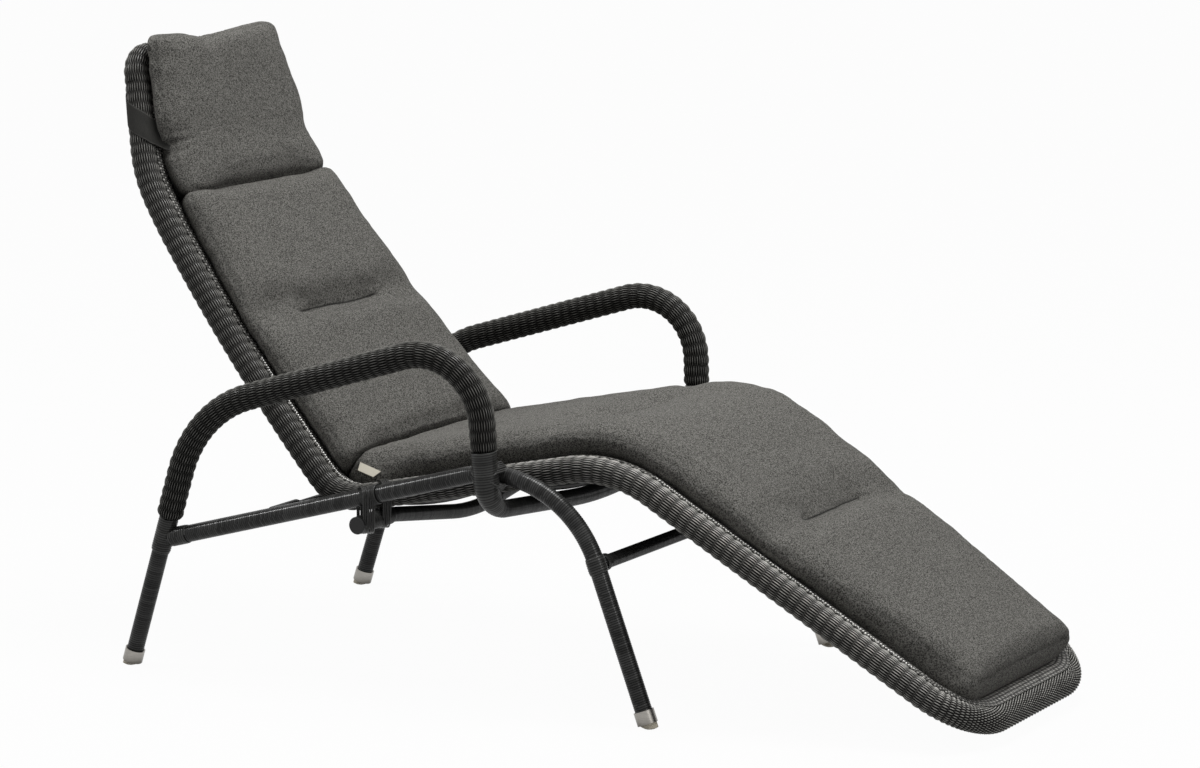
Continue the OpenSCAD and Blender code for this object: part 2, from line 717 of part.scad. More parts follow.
// Crossed strands that tie the rail to the upright; they start under the smooth winding.
// Their two planes halve the angles between the upright and the rail.
lash_turns = 3;
upright_dir = 90 - upright_lean;
rail_way = 180 - crossing_angle;
lash_plane = (upright_dir + rail_way) / 2;
lash_half = (rail_way - upright_dir) / 2;
module rail_lashings() color("#454644") both_sides() {
    centre = upright_point(crossing_z);
    buried_r = upright_wrap_d / 2 - 1.5 * strand_t;
    difference() {
        for (plane = [[lash_plane, lash_half], [lash_plane - 90, 90 - lash_half]], k = [0:lash_turns - 1])
            translate(centre) rotate([plane[0], 0, 0]) translate([0, 0, turn_offset(k, lash_turns)])
                strand_loop(centre.x - crossing_x, buried_r, tube_r + seat_gap, 1 / sin(plane[1]));
        rod(mix(bar_corner, centre, 0.1), upright_point(weave_front_z), upright_wrap_d / 2 + seat_gap);
        bent_tube([centre, bar_corner, bar_middle], [0, bar_end_bend, 0], tube_r + seat_gap);
        rail_tube(tube_r + seat_gap);
    }
}

// Metal sleeve and plastic glide of each foot
module at_each_foot() {
    both_sides() {
        translate(rear_foot) point_along(unit(arm_rear_corner - rear_foot)) children();
        translate(front_foot) point_along(unit(rail_corner - front_foot)) children();
    }
}
module foot_ferrules() color("#b9bab8") at_each_foot()
    translate([0, 0, ferrule_lift]) linear_extrude(ferrule_len) annulus(ferrule_d / 2, tube_r + seat_gap);

// The glide's dome is cut flat where it stands on the floor
dome_flat = 0.3;
below_floor = 20;
module foot_glides() color("#d9d3c4") {
    difference() {
        intersection() {
            at_each_foot() translate([0, 0, -below_floor])
                cylinder(h = below_floor + ferrule_lift - seat_gap, d = glide_d);
            both_sides() for (foot = [rear_foot, front_foot])
                translate(foot + [0, 0, glide_dome - dome_flat]) sphere(glide_dome);
        }
        translate([-rear_feet_span, -feet_base, -2 * below_floor])
            cube([2 * rear_feet_span, 2 * feet_base, 2 * below_floor]);
    }
    at_each_foot() translate([0, 0, ferrule_lift - 2]) cylinder(h = glide_stem_len + 2, d = glide_stem_d);
}

// Rim of the shell: a metal tube inside a woven sleeve, which is open where the panel comes in
rim_sides = 10;
slit = 10;
tube_fit = 0.5;
rim_arc = [for (k = [0:rim_sides]) slit + (360 - 2 * slit) * k / rim_sides];
module shell_rim_weave() color("#454644") rim_sweep(concat(
    [for (a = rim_arc) [a, rim_r]],
    [for (a = turned(rim_arc)) [a, rim_tube_d / 2 + tube_fit]]
));
module shell_rim_tube() color("#8a8c8c") rim_sweep([for (a = rim_arc) [a, rim_tube_d / 2]]);

// Woven panel, hung between the rim's inner sides
panel_cells = 8;
panel_last = shell_len - edge_in;
function round_in(radius, left) =
    let (rest = radius - clamp(left / radius) * radius)
    radius - sqrt(radius * radius - rest * rest);
function panel_half(s) = half_width(min(max(s, top_corner), foot_corner_s)) - edge_in
    - round_in(top_corner - edge_in, s - edge_in)
    - round_in(foot_corner - edge_in, panel_last - s);
panel_stations = concat(
    [edge_in, edge_in + 5],
    [for (s = stations) if (s > top_corner && s < foot_corner_s) s],
    [for (a = [0:18:90]) foot_corner_s + (foot_corner - edge_in) * sin(a)]
);
function panel_row(s, lift) = [for (k = [0:panel_cells])
    let (x = panel_half(s) * (2 * k / panel_cells - 1))
    shell_point(x, s, panel_n(x, s) + lift)];
module shell_panel() color("#4a4b49") sheet_loft(
    [for (s = panel_stations) panel_row(s, panel_t / 2)],
    [for (s = panel_stations) panel_row(s, -panel_t / 2)]
);

// Cross ribs: arcs that lie close under the panel and end at the rim
module rib(s) {
    w = panel_half(s);
    dip = panel_dip(s);
    arc_r = arc_radius(w, dip);
    rib_arc = arc_r + panel_t / 2 + seat_gap + rib_r;
    reach = asin(w / rib_arc);
    on_shell(s) translate([0, 0, arc_r - dip - panel_edge]) rotate([90, 0, 0]) rotate(-90 - reach)
        rotate_extrude(angle = 2 * reach, $fn = bend_steps) translate([rib_arc, 0]) annulus(rib_r, 0);
}
upper_ribs = [0.12, 0.6];
lower_ribs = [0.19, 0.87];
rib_stations = concat(
    [for (t = upper_ribs) mix(back_start, bend_start, t)],
    [cross_rib, bar_rib],
    [for (t = lower_ribs) mix(leg_start, foot_corner_s, t)]
);
module shell_ribs() color("#8a8c8c") for (s = rib_stations) rib(s);

// Lashings that tie the rim to the seat cross tube; they pass through the weave at the panel's edge
tie_turns = 2;
tie_room = 60;
module shell_ties() color("#454644") both_sides() {
    rim_x = half_width(rest_station);
    difference() {
        cross_tie(rim_x, tie_turns, rim_rest_z - cross_z, rim_r + 3 * seat_gap, seat_angle);
        rod(shell_point(rim_x, rest_station - tie_room), shell_point(rim_x, rest_station + tie_room),
            rim_r + 2 * seat_gap);
        cross_wrap_round();
        on_shell(rest_station) translate([rim_x - rim_r - tie_room / 3, -tie_room, -panel_edge - panel_t])
            cube([tie_room / 3, 2 * tie_room, panel_t + panel_edge]);
    }
}

// Cushion sections: rings across the shell, with crown, drawn-in sides and sewn tufts.
// Their underside lies on the panel, and lifts over the rim where a section reaches it.
top_steps = [-1, -0.9, -0.68, -0.4, -0.14, 0.14, 0.4, 0.68, 0.9, 1];
low_steps = [0.96, 0.8, 0.5, 0, -0.5, -0.8, -0.96];
lift_near = 12;
lift_far = 34;
rim_top = rim_r + 1.5;
function under_n(x, s) =
    let (lift = s < rim_r ? 1 : clamp((lift_far - rim_distance(x, s)) / (lift_far - lift_near)))
    mix(panel_n(x, s) + panel_t / 2 + cushion_gap, rim_top, lift);
tuft_reach = 34;
tuft_fade = 40;
function tuft_at(x, s, tufts) = total(concat([0], [for (t = tufts)
    tuft_depth * max(0, 1 - abs(s - t[0]) / tuft_reach) * clamp(1 - (abs(x) - t[1] / 2) / tuft_fade)]));

// A ring at station s: draw pulls it in at the rounded ends, arch moves its middle along the shell
edge_drop = 7;
edge_tuck = 0.985;
seam_level = 0.45;
function cushion_ring(s, w, tufts, draw = 0, arch = 0) =
    let (
        reach = w - draw,
        crest = cushion_height - draw,
        side_n = mix(under_n(reach, s), crest, seam_level),
        low = [for (t = low_steps)
            let (x = reach * t, q = s + arch * (1 - t * t))
            shell_point(x, q, under_n(x, q) + draw / 2)],
        top = [for (t = top_steps)
            let (x = reach * t, q = s + arch * (1 - t * t), edge = abs(t) == 1)
            shell_point(edge ? x * edge_tuck : x, q,
                crest + crown * (1 - t * t) - tuft_at(x, s, tufts) - (edge ? edge_drop : 0))]
    )
    concat(low, [shell_point(-reach, s, side_n)], top, [shell_point(reach, s, side_n)]);
end_draw = [[0, 14], [4, 6], [12, 1.5], [26, 0]];
end_room = 30;
function section_rings(first, last, widths, inner, tufts, arch = 0) = concat(
    [for (e = end_draw) cushion_ring(first + e[0], lookup(first + e[0], widths), tufts, e[1], arch)],
    [for (s = inner) if (s > first + end_room && s < last - end_room)
        cushion_ring(s, lookup(s, widths), tufts)],
    [for (e = turned(end_draw)) cushion_ring(last - e[0], lookup(last - e[0], widths), tufts, e[1])]
);
function spread(from, to, cells) = [for (k = [1:cells - 1]) mix(from, to, k / cells)];
function round_tuft(s) = [for (k = [-1, -1 / 3, 0, 1 / 3, 1]) s + k * tuft_reach];
side_widths = [for (s = stations) [s, half_width(s) - cushion_inset]];
headrest_taper = 4;
headrest_widths = [
    [0, headrest_top_width / 2],
    [headrest_len / 2, headrest_width / 2],
    [headrest_len, headrest_width / 2 - headrest_taper]
];
back_tuft = mix(back_start, bend_start, 0.5);
knee_tuft = mix(seat_start, knee_start, 0.935);
leg_tuft = mix(leg_start, shell_len, 0.288);
foot_inset = 15;
cushion_foot = shell_len - rim_r - foot_inset;

over_rim = rim_r + rim_tube_d / 2;
module headrest_cushion() color("#4e4f50") padded_loft(section_rings(
    -headrest_over, headrest_len, headrest_widths,
    concat(spread(0, over_rim, 3), [over_rim], spread(over_rim, headrest_len, 6)), [], ear_depth
));
module back_cushion() color("#4e4f50") padded_loft(section_rings(
    headrest_len + section_gap, crease_station - section_gap, side_widths,
    concat(
        spread(headrest_len, back_tuft - tuft_reach, 6),
        round_tuft(back_tuft),
        spread(back_tuft + tuft_reach, crease_station, 9)
    ),
    [[back_tuft, back_tuft_len]]
));
module seat_cushion() color("#4e4f50") padded_loft(section_rings(
    crease_station + section_gap, cushion_foot, side_widths,
    concat(
        spread(crease_station, knee_tuft - tuft_reach, 10),
        round_tuft(knee_tuft),
        spread(knee_tuft + tuft_reach, leg_tuft - tuft_reach, 11),
        round_tuft(leg_tuft),
        spread(leg_tuft + tuft_reach, cushion_foot, 9)
    ),
    [[knee_tuft, seat_tuft_len], [leg_tuft, seat_tuft_len]]
));

// Flat strap from the headrest's sides round the back of the rim, slanting down to the cushion.
// One half of its section, as [x, s, n], runs from the cushion's side to the middle of the back.
strap_station = 118;
strap_slant = 30;
strap_rows = 4;
strap_facet = 33;
strap_wrap = [75, -90];
strap_twist = [-20, 120];
strap_seam_n = 34;
strap_fold = [7, 4, 8];
function strap_half(s, extra) =
    let (
        r = (rim_r + 2 * seat_gap) / cos(strap_facet / 2) + extra,
        q = s + strap_slant,
        side = lookup(q, headrest_widths) + section_gap
    )
    concat(
        [
            [side, q, strap_seam_n + extra],
            [side + strap_fold[0], q - strap_fold[1], strap_seam_n - strap_fold[2] + extra]
        ],
        [for (a = [strap_wrap[0]:-strap_facet:strap_wrap[1]])
            let (t = s + strap_slant * clamp((a - strap_twist[0]) / (strap_twist[1] - strap_twist[0])))
            [half_width(t) + r * cos(a), t, r * sin(a)]]
    );
function strap_row(s, extra) =
    let (half = strap_half(s, extra))
    concat(
        [for (p = half) shell_point(-p.x, p.y, p.z)],
        [for (p = turned(half)) shell_point(p.x, p.y, p.z)]
    );
module headrest_strap() color("#333435") {
    rows = [for (k = [0:strap_rows]) strap_station + strap_w * (k / strap_rows - 0.5)];
    sheet_loft([for (s = rows) strap_row(s, 0)], [for (s = rows) strap_row(s, strap_t)]);
}

// Blank sewn tab at the seat section's near side, sewn in under the upper edge and hanging down
label_offset = 26;
label_t = 1.2;
label_slope = 5;
label_hang = 42;
label_rise = 0.85;
module cushion_label() color("#d8d3c2") {
    s = crease_station + label_offset;
    w = half_width(s) - cushion_inset;
    side_n = mix(under_n(w, s), cushion_height, seam_level);
    x = w * mix(1, edge_tuck, label_rise) + 2 * seat_gap;
    on_shell(s) translate([-x, 0, mix(side_n, cushion_height - edge_drop, label_rise)])
        rotate([0, -label_hang, 0]) linear_extrude(label_t) polygon([
            [0, 0], [0, -label_len], [-label_w, label_slope - label_len], [-label_w, -label_slope]
        ]);
}

arm_frame_tube();
left_side_rail();
right_side_rail();
seat_cross_tube();
cross_tube_caps();
rear_stretcher();
front_stretcher();
left_arm_weave();
right_arm_weave();
rear_leg_wraps();
upright_wraps();
rail_lashings();
cross_tube_lashings();
rear_stretcher_wraps();
front_stretcher_wraps();
foot_ferrules();
foot_glides();
shell_rim_tube();
shell_ribs();
shell_rim_weave();
shell_panel();
shell_ties();
headrest_cushion();
back_cushion();
seat_cushion();
headrest_strap();
cushion_label();
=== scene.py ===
import math

import bmesh
import bpy
import numpy as np
from mathutils import Matrix, Vector


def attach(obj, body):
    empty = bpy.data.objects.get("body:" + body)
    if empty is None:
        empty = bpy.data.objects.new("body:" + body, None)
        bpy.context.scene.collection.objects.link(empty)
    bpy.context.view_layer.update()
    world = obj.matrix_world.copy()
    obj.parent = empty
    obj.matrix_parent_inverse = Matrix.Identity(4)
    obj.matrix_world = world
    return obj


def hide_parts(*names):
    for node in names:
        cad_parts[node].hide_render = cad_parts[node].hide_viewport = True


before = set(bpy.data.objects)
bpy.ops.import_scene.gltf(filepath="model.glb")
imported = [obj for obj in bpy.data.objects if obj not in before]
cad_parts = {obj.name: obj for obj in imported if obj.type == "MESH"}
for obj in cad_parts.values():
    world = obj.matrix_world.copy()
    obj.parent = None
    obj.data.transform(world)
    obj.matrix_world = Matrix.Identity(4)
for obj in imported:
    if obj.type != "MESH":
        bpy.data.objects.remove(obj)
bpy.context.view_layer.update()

# Camera of the photograph: a long lens that looks at the side of the chair at -X and at its foot
# end, from about six metres away and a metre and a half above the floor.
eye = Vector((-5.3913, -2.9973, 1.4756))
view_right = Vector((0.48479, -0.87463, 0.0))
view_up = Vector((0.14481, 0.08026, 0.98620))
view_back = view_right.cross(view_up)
camera = bpy.data.objects.new("photo_camera", bpy.data.cameras.new("photo_camera"))
camera.data.sensor_fit = "HORIZONTAL"
camera.data.sensor_width = 36.0
camera.data.lens = camera.data.sensor_width * 4126.85 / 1200
camera.data.clip_end = 60.0
turned_to = Matrix((view_right, view_up, view_back)).transposed().to_4x4()
camera.matrix_world = Matrix.Translation(eye) @ turned_to
bpy.context.collection.objects.link(camera)
bpy.context.scene.camera = camera


# Wound frame tubes: round metal tube, bent cold, then wound turn by turn with one flat resin
# strand, so each tube shows fine rings all along. The strand is charcoal with a satin face.
class Wire:
    """One output socket of a finish; maths on it adds Math nodes."""

    def __init__(self, finish, socket):
        self.finish = finish
        self.socket = socket

    def maths(self, operation, *others):
        values = dict(enumerate((self, *others)))
        return self.finish.node("ShaderNodeMath", {"operation": operation}, values)

    def __add__(self, other):
        return self.maths("ADD", other)

    __radd__ = __add__

    def __mul__(self, other):
        return self.maths("MULTIPLY", other)

    __rmul__ = __mul__

    def __sub__(self, other):
        return self.maths("SUBTRACT", other)

    def __rsub__(self, other):
        return self.finish.node("ShaderNodeMath", {"operation": "SUBTRACT"}, {0: other, 1: self})

    def floor(self):
        return self.maths("FLOOR")

    def fract(self):
        return self.maths("FRACT")

    def clamped(self):
        return self.maths("MAXIMUM", 0.0).maths("MINIMUM", 1.0)

    def bell(self):
        """0 at whole numbers, 1 halfway between them."""
        return (self * math.pi).maths("SINE").maths("ABSOLUTE")


class Finish:
    """A material, or the sky, whose shader is put together one node at a time."""

    def __init__(self, name, owner=None):
        self.material = owner or bpy.data.materials.new(name)
        self.material.use_nodes = True
        self.tree = self.material.node_tree
        self.tree.nodes.clear()

    def node(self, kind, settings=None, sockets=None, output=0):
        made = self.tree.nodes.new(kind)
        for key, value in (settings or {}).items():
            setattr(made, key, value)
        for key, value in (sockets or {}).items():
            if isinstance(value, Wire):
                self.tree.links.new(value.socket, made.inputs[key])
            else:
                made.inputs[key].default_value = value
        return Wire(self, made.outputs[output]) if made.outputs else None

    def axes(self, vector):
        split = self.node("ShaderNodeSeparateXYZ", {}, {0: vector})
        return [Wire(self, socket) for socket in split.socket.node.outputs]

    def join(self, x, y, z=0.0):
        return self.node("ShaderNodeCombineXYZ", {}, {0: x, 1: y, 2: z})

    def place(self, scale=(1.0, 1.0, 1.0)):
        where = self.node("ShaderNodeTexCoord", {}, {}, "Object")
        return self.node("ShaderNodeMapping", {}, {"Vector": where, "Scale": scale})

    def laid(self):
        return self.node("ShaderNodeUVMap", {"uv_map": "laid"}, {})

    def noise(self, vector, scale, detail=3.0, roughness=0.5):
        sockets = {"Vector": vector, "Scale": scale, "Detail": detail, "Roughness": roughness}
        return self.node("ShaderNodeTexNoise", {}, sockets)

    def chance(self, vector):
        return self.node("ShaderNodeTexWhiteNoise", {"noise_dimensions": "3D"}, {"Vector": vector})

    def blend(self, factor, a, b):
        a, b = ((*c, 1.0) if isinstance(c, tuple) else c for c in (a, b))
        return self.node("ShaderNodeMix", {"data_type": "RGBA"}, {0: factor, 6: a, 7: b}, 2)

    def surface(self, colour, roughness, height=None, relief=0.001, strength=1.0, **constants):
        sockets = {"Base Color": colour, "Roughness": roughness, **constants}
        if height is not None:
            sockets["Normal"] = self.node(
                "ShaderNodeBump", {}, {"Height": height, "Distance": relief, "Strength": strength}
            )
        shader = self.node("ShaderNodeBsdfPrincipled", {}, sockets)
        self.node("ShaderNodeOutputMaterial", {}, {"Surface": shader})
        return self.material


def tinted(shade, share):
    return tuple(min(1.0, share * part) for part in shade)


def wound_finish(name, shade, gloss=0.30):
    """Rings of flat strand: the laid map counts turns along and parts of a turn round."""
    finish = Finish(name)
    turn, around, _ = finish.axes(finish.laid())
    tone = finish.chance(finish.join(turn.floor(), 0.0))
    wear = finish.noise(finish.place(), 55.0, 4.0, 0.6)
    grain = finish.noise(finish.join(turn * 9.0, around * 6.0), 1.0, 2.0)
    # painted shade: gap darkens the colour to near-black between the turns
    gap = 1 - turn.bell().maths("POWER", 0.7)
    colour = finish.blend(tone * 0.6 + wear * 0.4, tinted(shade, 0.7), tinted(shade, 2.4))
    # painted shade: low darkens the tube's colour below 0.24 m, towards the floor
    above_floor = finish.axes(finish.place())[2]
    low = ((0.24 - above_floor) * 9.0).clamped()
    colour = finish.blend(gap * 0.9 + low * 0.3, colour, tinted(shade, 0.06))
    roughness = gloss + tone * 0.10 + wear * 0.10 + gap * 0.3
    sheen = {"Coat Weight": (1 - gap) * (tone * 0.3 + 0.3)}
    sheen |= {"Coat Roughness": 0.17, "Specular IOR Level": 0.06}
    height = turn.bell() * 0.8 + grain * 0.12
    return finish.surface(colour, roughness, height, relief=0.0006, strength=0.6, **sheen)


def smooth_path(corners, bends, step):
    """Points along a tube that is bent round at each inner corner, about one step apart."""
    corners = [Vector(c) for c in corners]
    points = [corners[0]]
    for before, corner, after, bend in zip(corners, corners[1:], corners[2:], bends):
        into = (corner - before).normalized()
        out = (after - corner).normalized()
        angle = into.angle(out)
        cut = bend * math.tan(angle / 2)
        start = corner - into * cut
        axis = into.cross(out).normalized()
        inward = axis.cross(into)
        centre = start + inward * bend
        count = max(2, round(bend * angle / step))
        points.append(start)
        for k in range(1, count + 1):
            swing = Matrix.Rotation(angle * k / count, 3, axis)
            points.append(centre + swing @ (start - centre))
    points.append(corners[-1])
    return np.array([tuple(p) for p in points])


def follow(points):
    """Length of a path, and a function that gives the place, side and top at distances along it."""
    steps = np.linalg.norm(np.diff(points, axis=0), axis=1)
    marks = np.concatenate([[0.0], np.cumsum(steps)])
    fine = np.linspace(0.0, marks[-1], max(8, round(marks[-1] / 0.0015)))
    at = np.stack([np.interp(fine, marks, points[:, k]) for k in range(3)], 1)
    along = np.gradient(at, axis=0)
    along /= np.linalg.norm(along, axis=1)[:, None]
    side = np.empty_like(along)
    across = np.cross(along[0], (0.0, 1.0, 0.0) if abs(along[0][2]) > 0.98 else (0.0, 0.0, 1.0))
    side[0] = across / np.linalg.norm(across)
    for k in range(1, len(along)):
        kept = side[k - 1] - along[k] * side[k - 1].dot(along[k])
        side[k] = kept / np.linalg.norm(kept)
    table = np.hstack([at, side, np.cross(along, side)])

    def route(place):
        found = np.stack([np.interp(place, fine, table[:, k]) for k in range(9)], 1)
        return found[:, :3], found[:, 3:6], found[:, 6:]

    return marks[-1], route


def vectors(rows, key):
    """A mesh's places or normals as one array."""
    flat = np.empty(len(rows) * 3)
    rows.foreach_get(key, flat)
    return flat.reshape(-1, 3)


def laid_grid(name, cells_along, cells_around, shape, laid, closed=True, capped=True):
    """A grid from bmesh that is laid on a surface: shape gives its places, laid its map."""
    sheet = bmesh.new()
    sheet.loops.layers.uv.new("laid")
    bmesh.ops.create_grid(
        sheet, x_segments=cells_along, y_segments=cells_around, size=1.0, calc_uvs=True)
    mesh = bpy.data.meshes.new(name)
    sheet.to_mesh(mesh)
    sheet.free()
    flat = vectors(mesh.vertices, "co")
    i = np.rint((flat[:, 0] + 1) / 2 * cells_along).astype(int)
    j = np.rint((flat[:, 1] + 1) / 2 * cells_around).astype(int)
    placed, depth = shape(i, j)
    mesh.vertices.foreach_set("co", placed.ravel())
    groove = mesh.attributes.new("depth", "FLOAT", "POINT")
    groove.data.foreach_set("value", depth)
    corner = np.empty(len(mesh.loops), dtype=int)
    mesh.loops.foreach_get("vertex_index", corner)
    u, v = laid(i[corner], j[corner])
    mesh.uv_layers["laid"].data.foreach_set("uv", np.stack([u, v], 1).ravel())
    skin = bmesh.new()
    skin.from_mesh(mesh)
    if closed:
        bmesh.ops.remove_doubles(skin, verts=skin.verts, dist=2e-6)
    if capped:
        rims = [edge for edge in skin.edges if edge.is_boundary]
        bmesh.ops.holes_fill(skin, edges=rims, sides=0)
    bmesh.ops.recalc_face_normals(skin, faces=skin.faces)
    for face in skin.faces:
        face.smooth = True
    skin.to_mesh(mesh)
    skin.free()
    piece = bpy.data.objects.new(name, mesh)
    bpy.context.collection.objects.link(piece)
    return piece


def put(piece, material, slot, *nodes):
    """Gives a piece its finish and its body, and hides the solids that it stands for."""
    piece.data.materials.clear()
    piece.data.materials.append(material)
    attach(piece, "root")
    if nodes:
        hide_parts(*nodes)


def ring_point(route, place, angle, radius):
    at, side, up = route(place)
    swing = side * np.cos(angle)[:, None] + up * np.sin(angle)[:, None]
    return at + swing * radius[:, None]


def wind(name, points, radius, pitch=0.0034, relief=0.0006, sides=20):
    """A tube whose winding stands up in turns; radius is a number or a function of the way along."""
    length, route = follow(points)
    turns = max(2, round(length / pitch))

    def shape(i, j):
        beat = np.clip(i / 2 + j / sides - 0.5, 0.0, turns)
        place = beat * length / turns
        base = radius(place) if callable(radius) else np.full(len(place), radius)
        ring = base - relief * (i % 2 == 0)
        return ring_point(route, place, 2 * math.pi * j / sides, ring), (i % 2).astype(float)

    return laid_grid(name, 2 * turns, sides, shape, lambda i, j: (i / 2, j / sides))


def flipped(point):
    return (-point[0], point[1], point[2])


tube = 0.0132
charcoal = (0.026, 0.026, 0.0253)
wound_charcoal = wound_finish("wound_charcoal", charcoal)
leg_lean = math.tan(math.radians(17.9))
leg_splay = math.tan(math.radians(0.6))


def rear_leg(z):
    return (0.330 + leg_splay * z, 0.631755 - leg_lean * z, z)


arm_rear = (0.334273, 0.499974, 0.408)
arm_front = (0.340, 0.00797411, 0.557481)
bar_end = (0.3265, -0.00546749, 0.301)
foot_height = 0.0085
half_hoop = [rear_leg(foot_height), arm_rear, arm_front, bar_end]
half_bends = [0.190, 0.100, 0.050]
hoop = half_hoop + [(0.0, bar_end[1], 0.272)] + [flipped(p) for p in half_hoop[::-1]]
hoop_path = smooth_path(hoop, half_bends + [0.990] + half_bends[::-1], 0.006)
put(wind("wound_arm_frame", hoop_path, tube), wound_charcoal, "wound_tube", "arm_frame_tube")

# Side rails: the same wound tube, straight from the rear leg and bent into the front leg,
# each closed up against the leg and the upright that it is welded to.
rail_start = Vector((0.332136, 0.565864, 0.204))
rail_corner = Vector((0.296738, -0.110136, 0.387665))
front_foot = Vector((0.297, -0.255245, 0.0))
leg_up = (rail_corner - front_foot).normalized()
rail_way = (rail_corner - rail_start).normalized()
rail_line = [rail_start + rail_way * 0.0135, rail_corner, front_foot + leg_up * foot_height]
rail_bend = 0.180
for hand, sign in (("left", -1), ("right", 1)):
    line = [(sign * p[0], p[1], p[2]) for p in rail_line]
    rail = wind(f"wound_{hand}_rail", smooth_path(line, [rail_bend], 0.006), tube)
    put(rail, wound_charcoal, "wound_tube", f"{hand}_side_rail")

# Cross members: a bowed tube under the seat with a black cap in each end, and two thin straight
# stretchers. Their winding is the same strand, drawn a little tighter.
cross_y = 0.213755
cross_z = 0.260166
cross_end = 0.336
cross_dip = 0.036
cross_radius = 0.0115
stretcher_radius = 0.01025
thin_pitch = 0.003
cross_line = [(cross_end, cross_y, cross_z), (0.240, cross_y, cross_z)]
cross_line += [(0.0, cross_y, cross_z - cross_dip)] + [flipped(p) for p in cross_line[::-1]]
cross_path = smooth_path(cross_line, [0.120, 0.450, 0.120], 0.005)
cross_piece = wind("wound_cross_tube", cross_path, cross_radius, thin_pitch)
put(cross_piece, wound_charcoal, "wound_tube", "seat_cross_tube")
rear_end = (0.3092, 0.381755, 0.254022)
front_end = (0.2825, -0.168404, 0.232)
for name, end, node in (
    ("wound_rear_stretcher", rear_end, "rear_stretcher"),
    ("wound_front_stretcher", front_end, "front_stretcher"),
):
    path = np.array([end, flipped(end)])
    put(wind(name, path, stretcher_radius, thin_pitch), wound_charcoal, "wound_tube", node)


def moulded_finish(name, shade, roughness):
    finish = Finish(name)
    cloud = finish.noise(finish.place(), 70.0, 4.0)
    fine = finish.noise(finish.place(), 900.0, 2.0)
    colour = finish.blend(cloud, tinted(shade, 0.8), tinted(shade, 1.15))
    return finish.surface(
        colour, roughness + fine * 0.12, fine * 0.5, relief=0.0002, strength=0.35,
        **{"Specular IOR Level": 0.3})


def refinish(node, material):
    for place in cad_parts[node].material_slots:
        place.material = material


refinish("cross_tube_caps", moulded_finish("cap_black", (0.012, 0.012, 0.012), 0.42))

# Joint windings: where two tubes meet, a wider flat strand is wound tightly round the joint.
# It covers the weld and swells the tube a little.
joint_charcoal = wound_finish("joint_charcoal", (0.038, 0.038, 0.0365), 0.28)
joint_pitch = 0.0036
joint_least = tube + 0.0006


def rising(value, start, length):
    """0 up to the start, 1 past the length."""
    return np.clip((value - start) / length, 0.0, 1.0)


def falling(value, stop, length):
    """1 up to the length before the stop, 0 past the stop."""
    return np.clip((stop - value) / length, 0.0, 1.0)


def swollen(full, length, taper):
    """Radius along a joint winding that thins out to the tube at both ends."""

    def radius(place):
        near_end = rising(np.minimum(place, length - place), 0.0, taper)
        return joint_least + (full - joint_least) * np.sin(near_end * math.pi / 2)

    return radius


def joint(name, start, end, full, node, taper=0.006):
    """The same winding on both sides of the chair, as one piece per side."""
    for hand, sign in (("left", -1), ("right", 1)):
        path = np.array([(sign * start[0], *start[1:]), (sign * end[0], *end[1:])])
        radius = swollen(full, follow(path)[0], taper)
        piece = wind(f"{hand}_{name}", path, radius, joint_pitch, relief=0.0008, sides=24)
        put(piece, joint_charcoal, "woven_resin", node)


upright_way = (Vector(arm_front) - Vector(bar_end)).normalized()


def upright(z):
    return tuple(Vector(bar_end) + upright_way * ((z - bar_end[2]) / upright_way.z))


joint("rear_leg_winding", rear_leg(0.184), rear_leg(0.2405), 0.0152, "rear_leg_wraps")
collar_start, collar_end = (rail_start + rail_way * reach for reach in (0.013, 0.047))
joint("rail_collar", collar_start, collar_end, 0.0147, "rear_leg_wraps")
bend_line = smooth_path([upright(0.3905), bar_end, (0.0, bar_end[1], 0.272)], [0.050], 0.003)
bend_way = np.concatenate([[0.0], np.cumsum(np.linalg.norm(np.diff(bend_line, axis=0), axis=1))])
wound_part = bend_way < 0.105
bend_line = bend_line[wound_part]
bend_way = bend_way[wound_part]
most_stood_off = 0.0022


def thinning(place):
    """The winding hides the armrest sleeve's end and thins out round the bend below."""
    return joint_least + 0.0056 * np.sin(falling(place, 0.100, 0.055) * math.pi / 2)


for hand, sign in (("left", -1), ("right", 1)):
    stood_off = most_stood_off * np.clip(1.5 - bend_way / 0.05, 0.0, 1.0)
    line = np.stack([sign * (bend_line[:, 0] + stood_off), bend_line[:, 1], bend_line[:, 2]], 1)
    piece = wind(f"{hand}_upright_winding", line, thinning, joint_pitch, relief=0.0007, sides=24)
    put(piece, joint_charcoal, "woven_resin", "upright_wraps")

joint("stretcher_winding", (0.3088, *rear_end[1:]), (0.2425, *rear_end[1:]), 0.0137,
      "rear_stretcher_wraps")
leg_joint = Vector((0.296843, *front_end[1:]))
band_half = leg_up * 0.013
joint("leg_band", leg_joint - band_half, leg_joint + band_half, 0.0150, "front_stretcher_wraps")
joint("stretcher_collar", leg_joint - Vector((0.0135, 0, 0)), leg_joint - Vector((0.0270, 0, 0)),
      0.0122, "front_stretcher_wraps", taper=0.004)


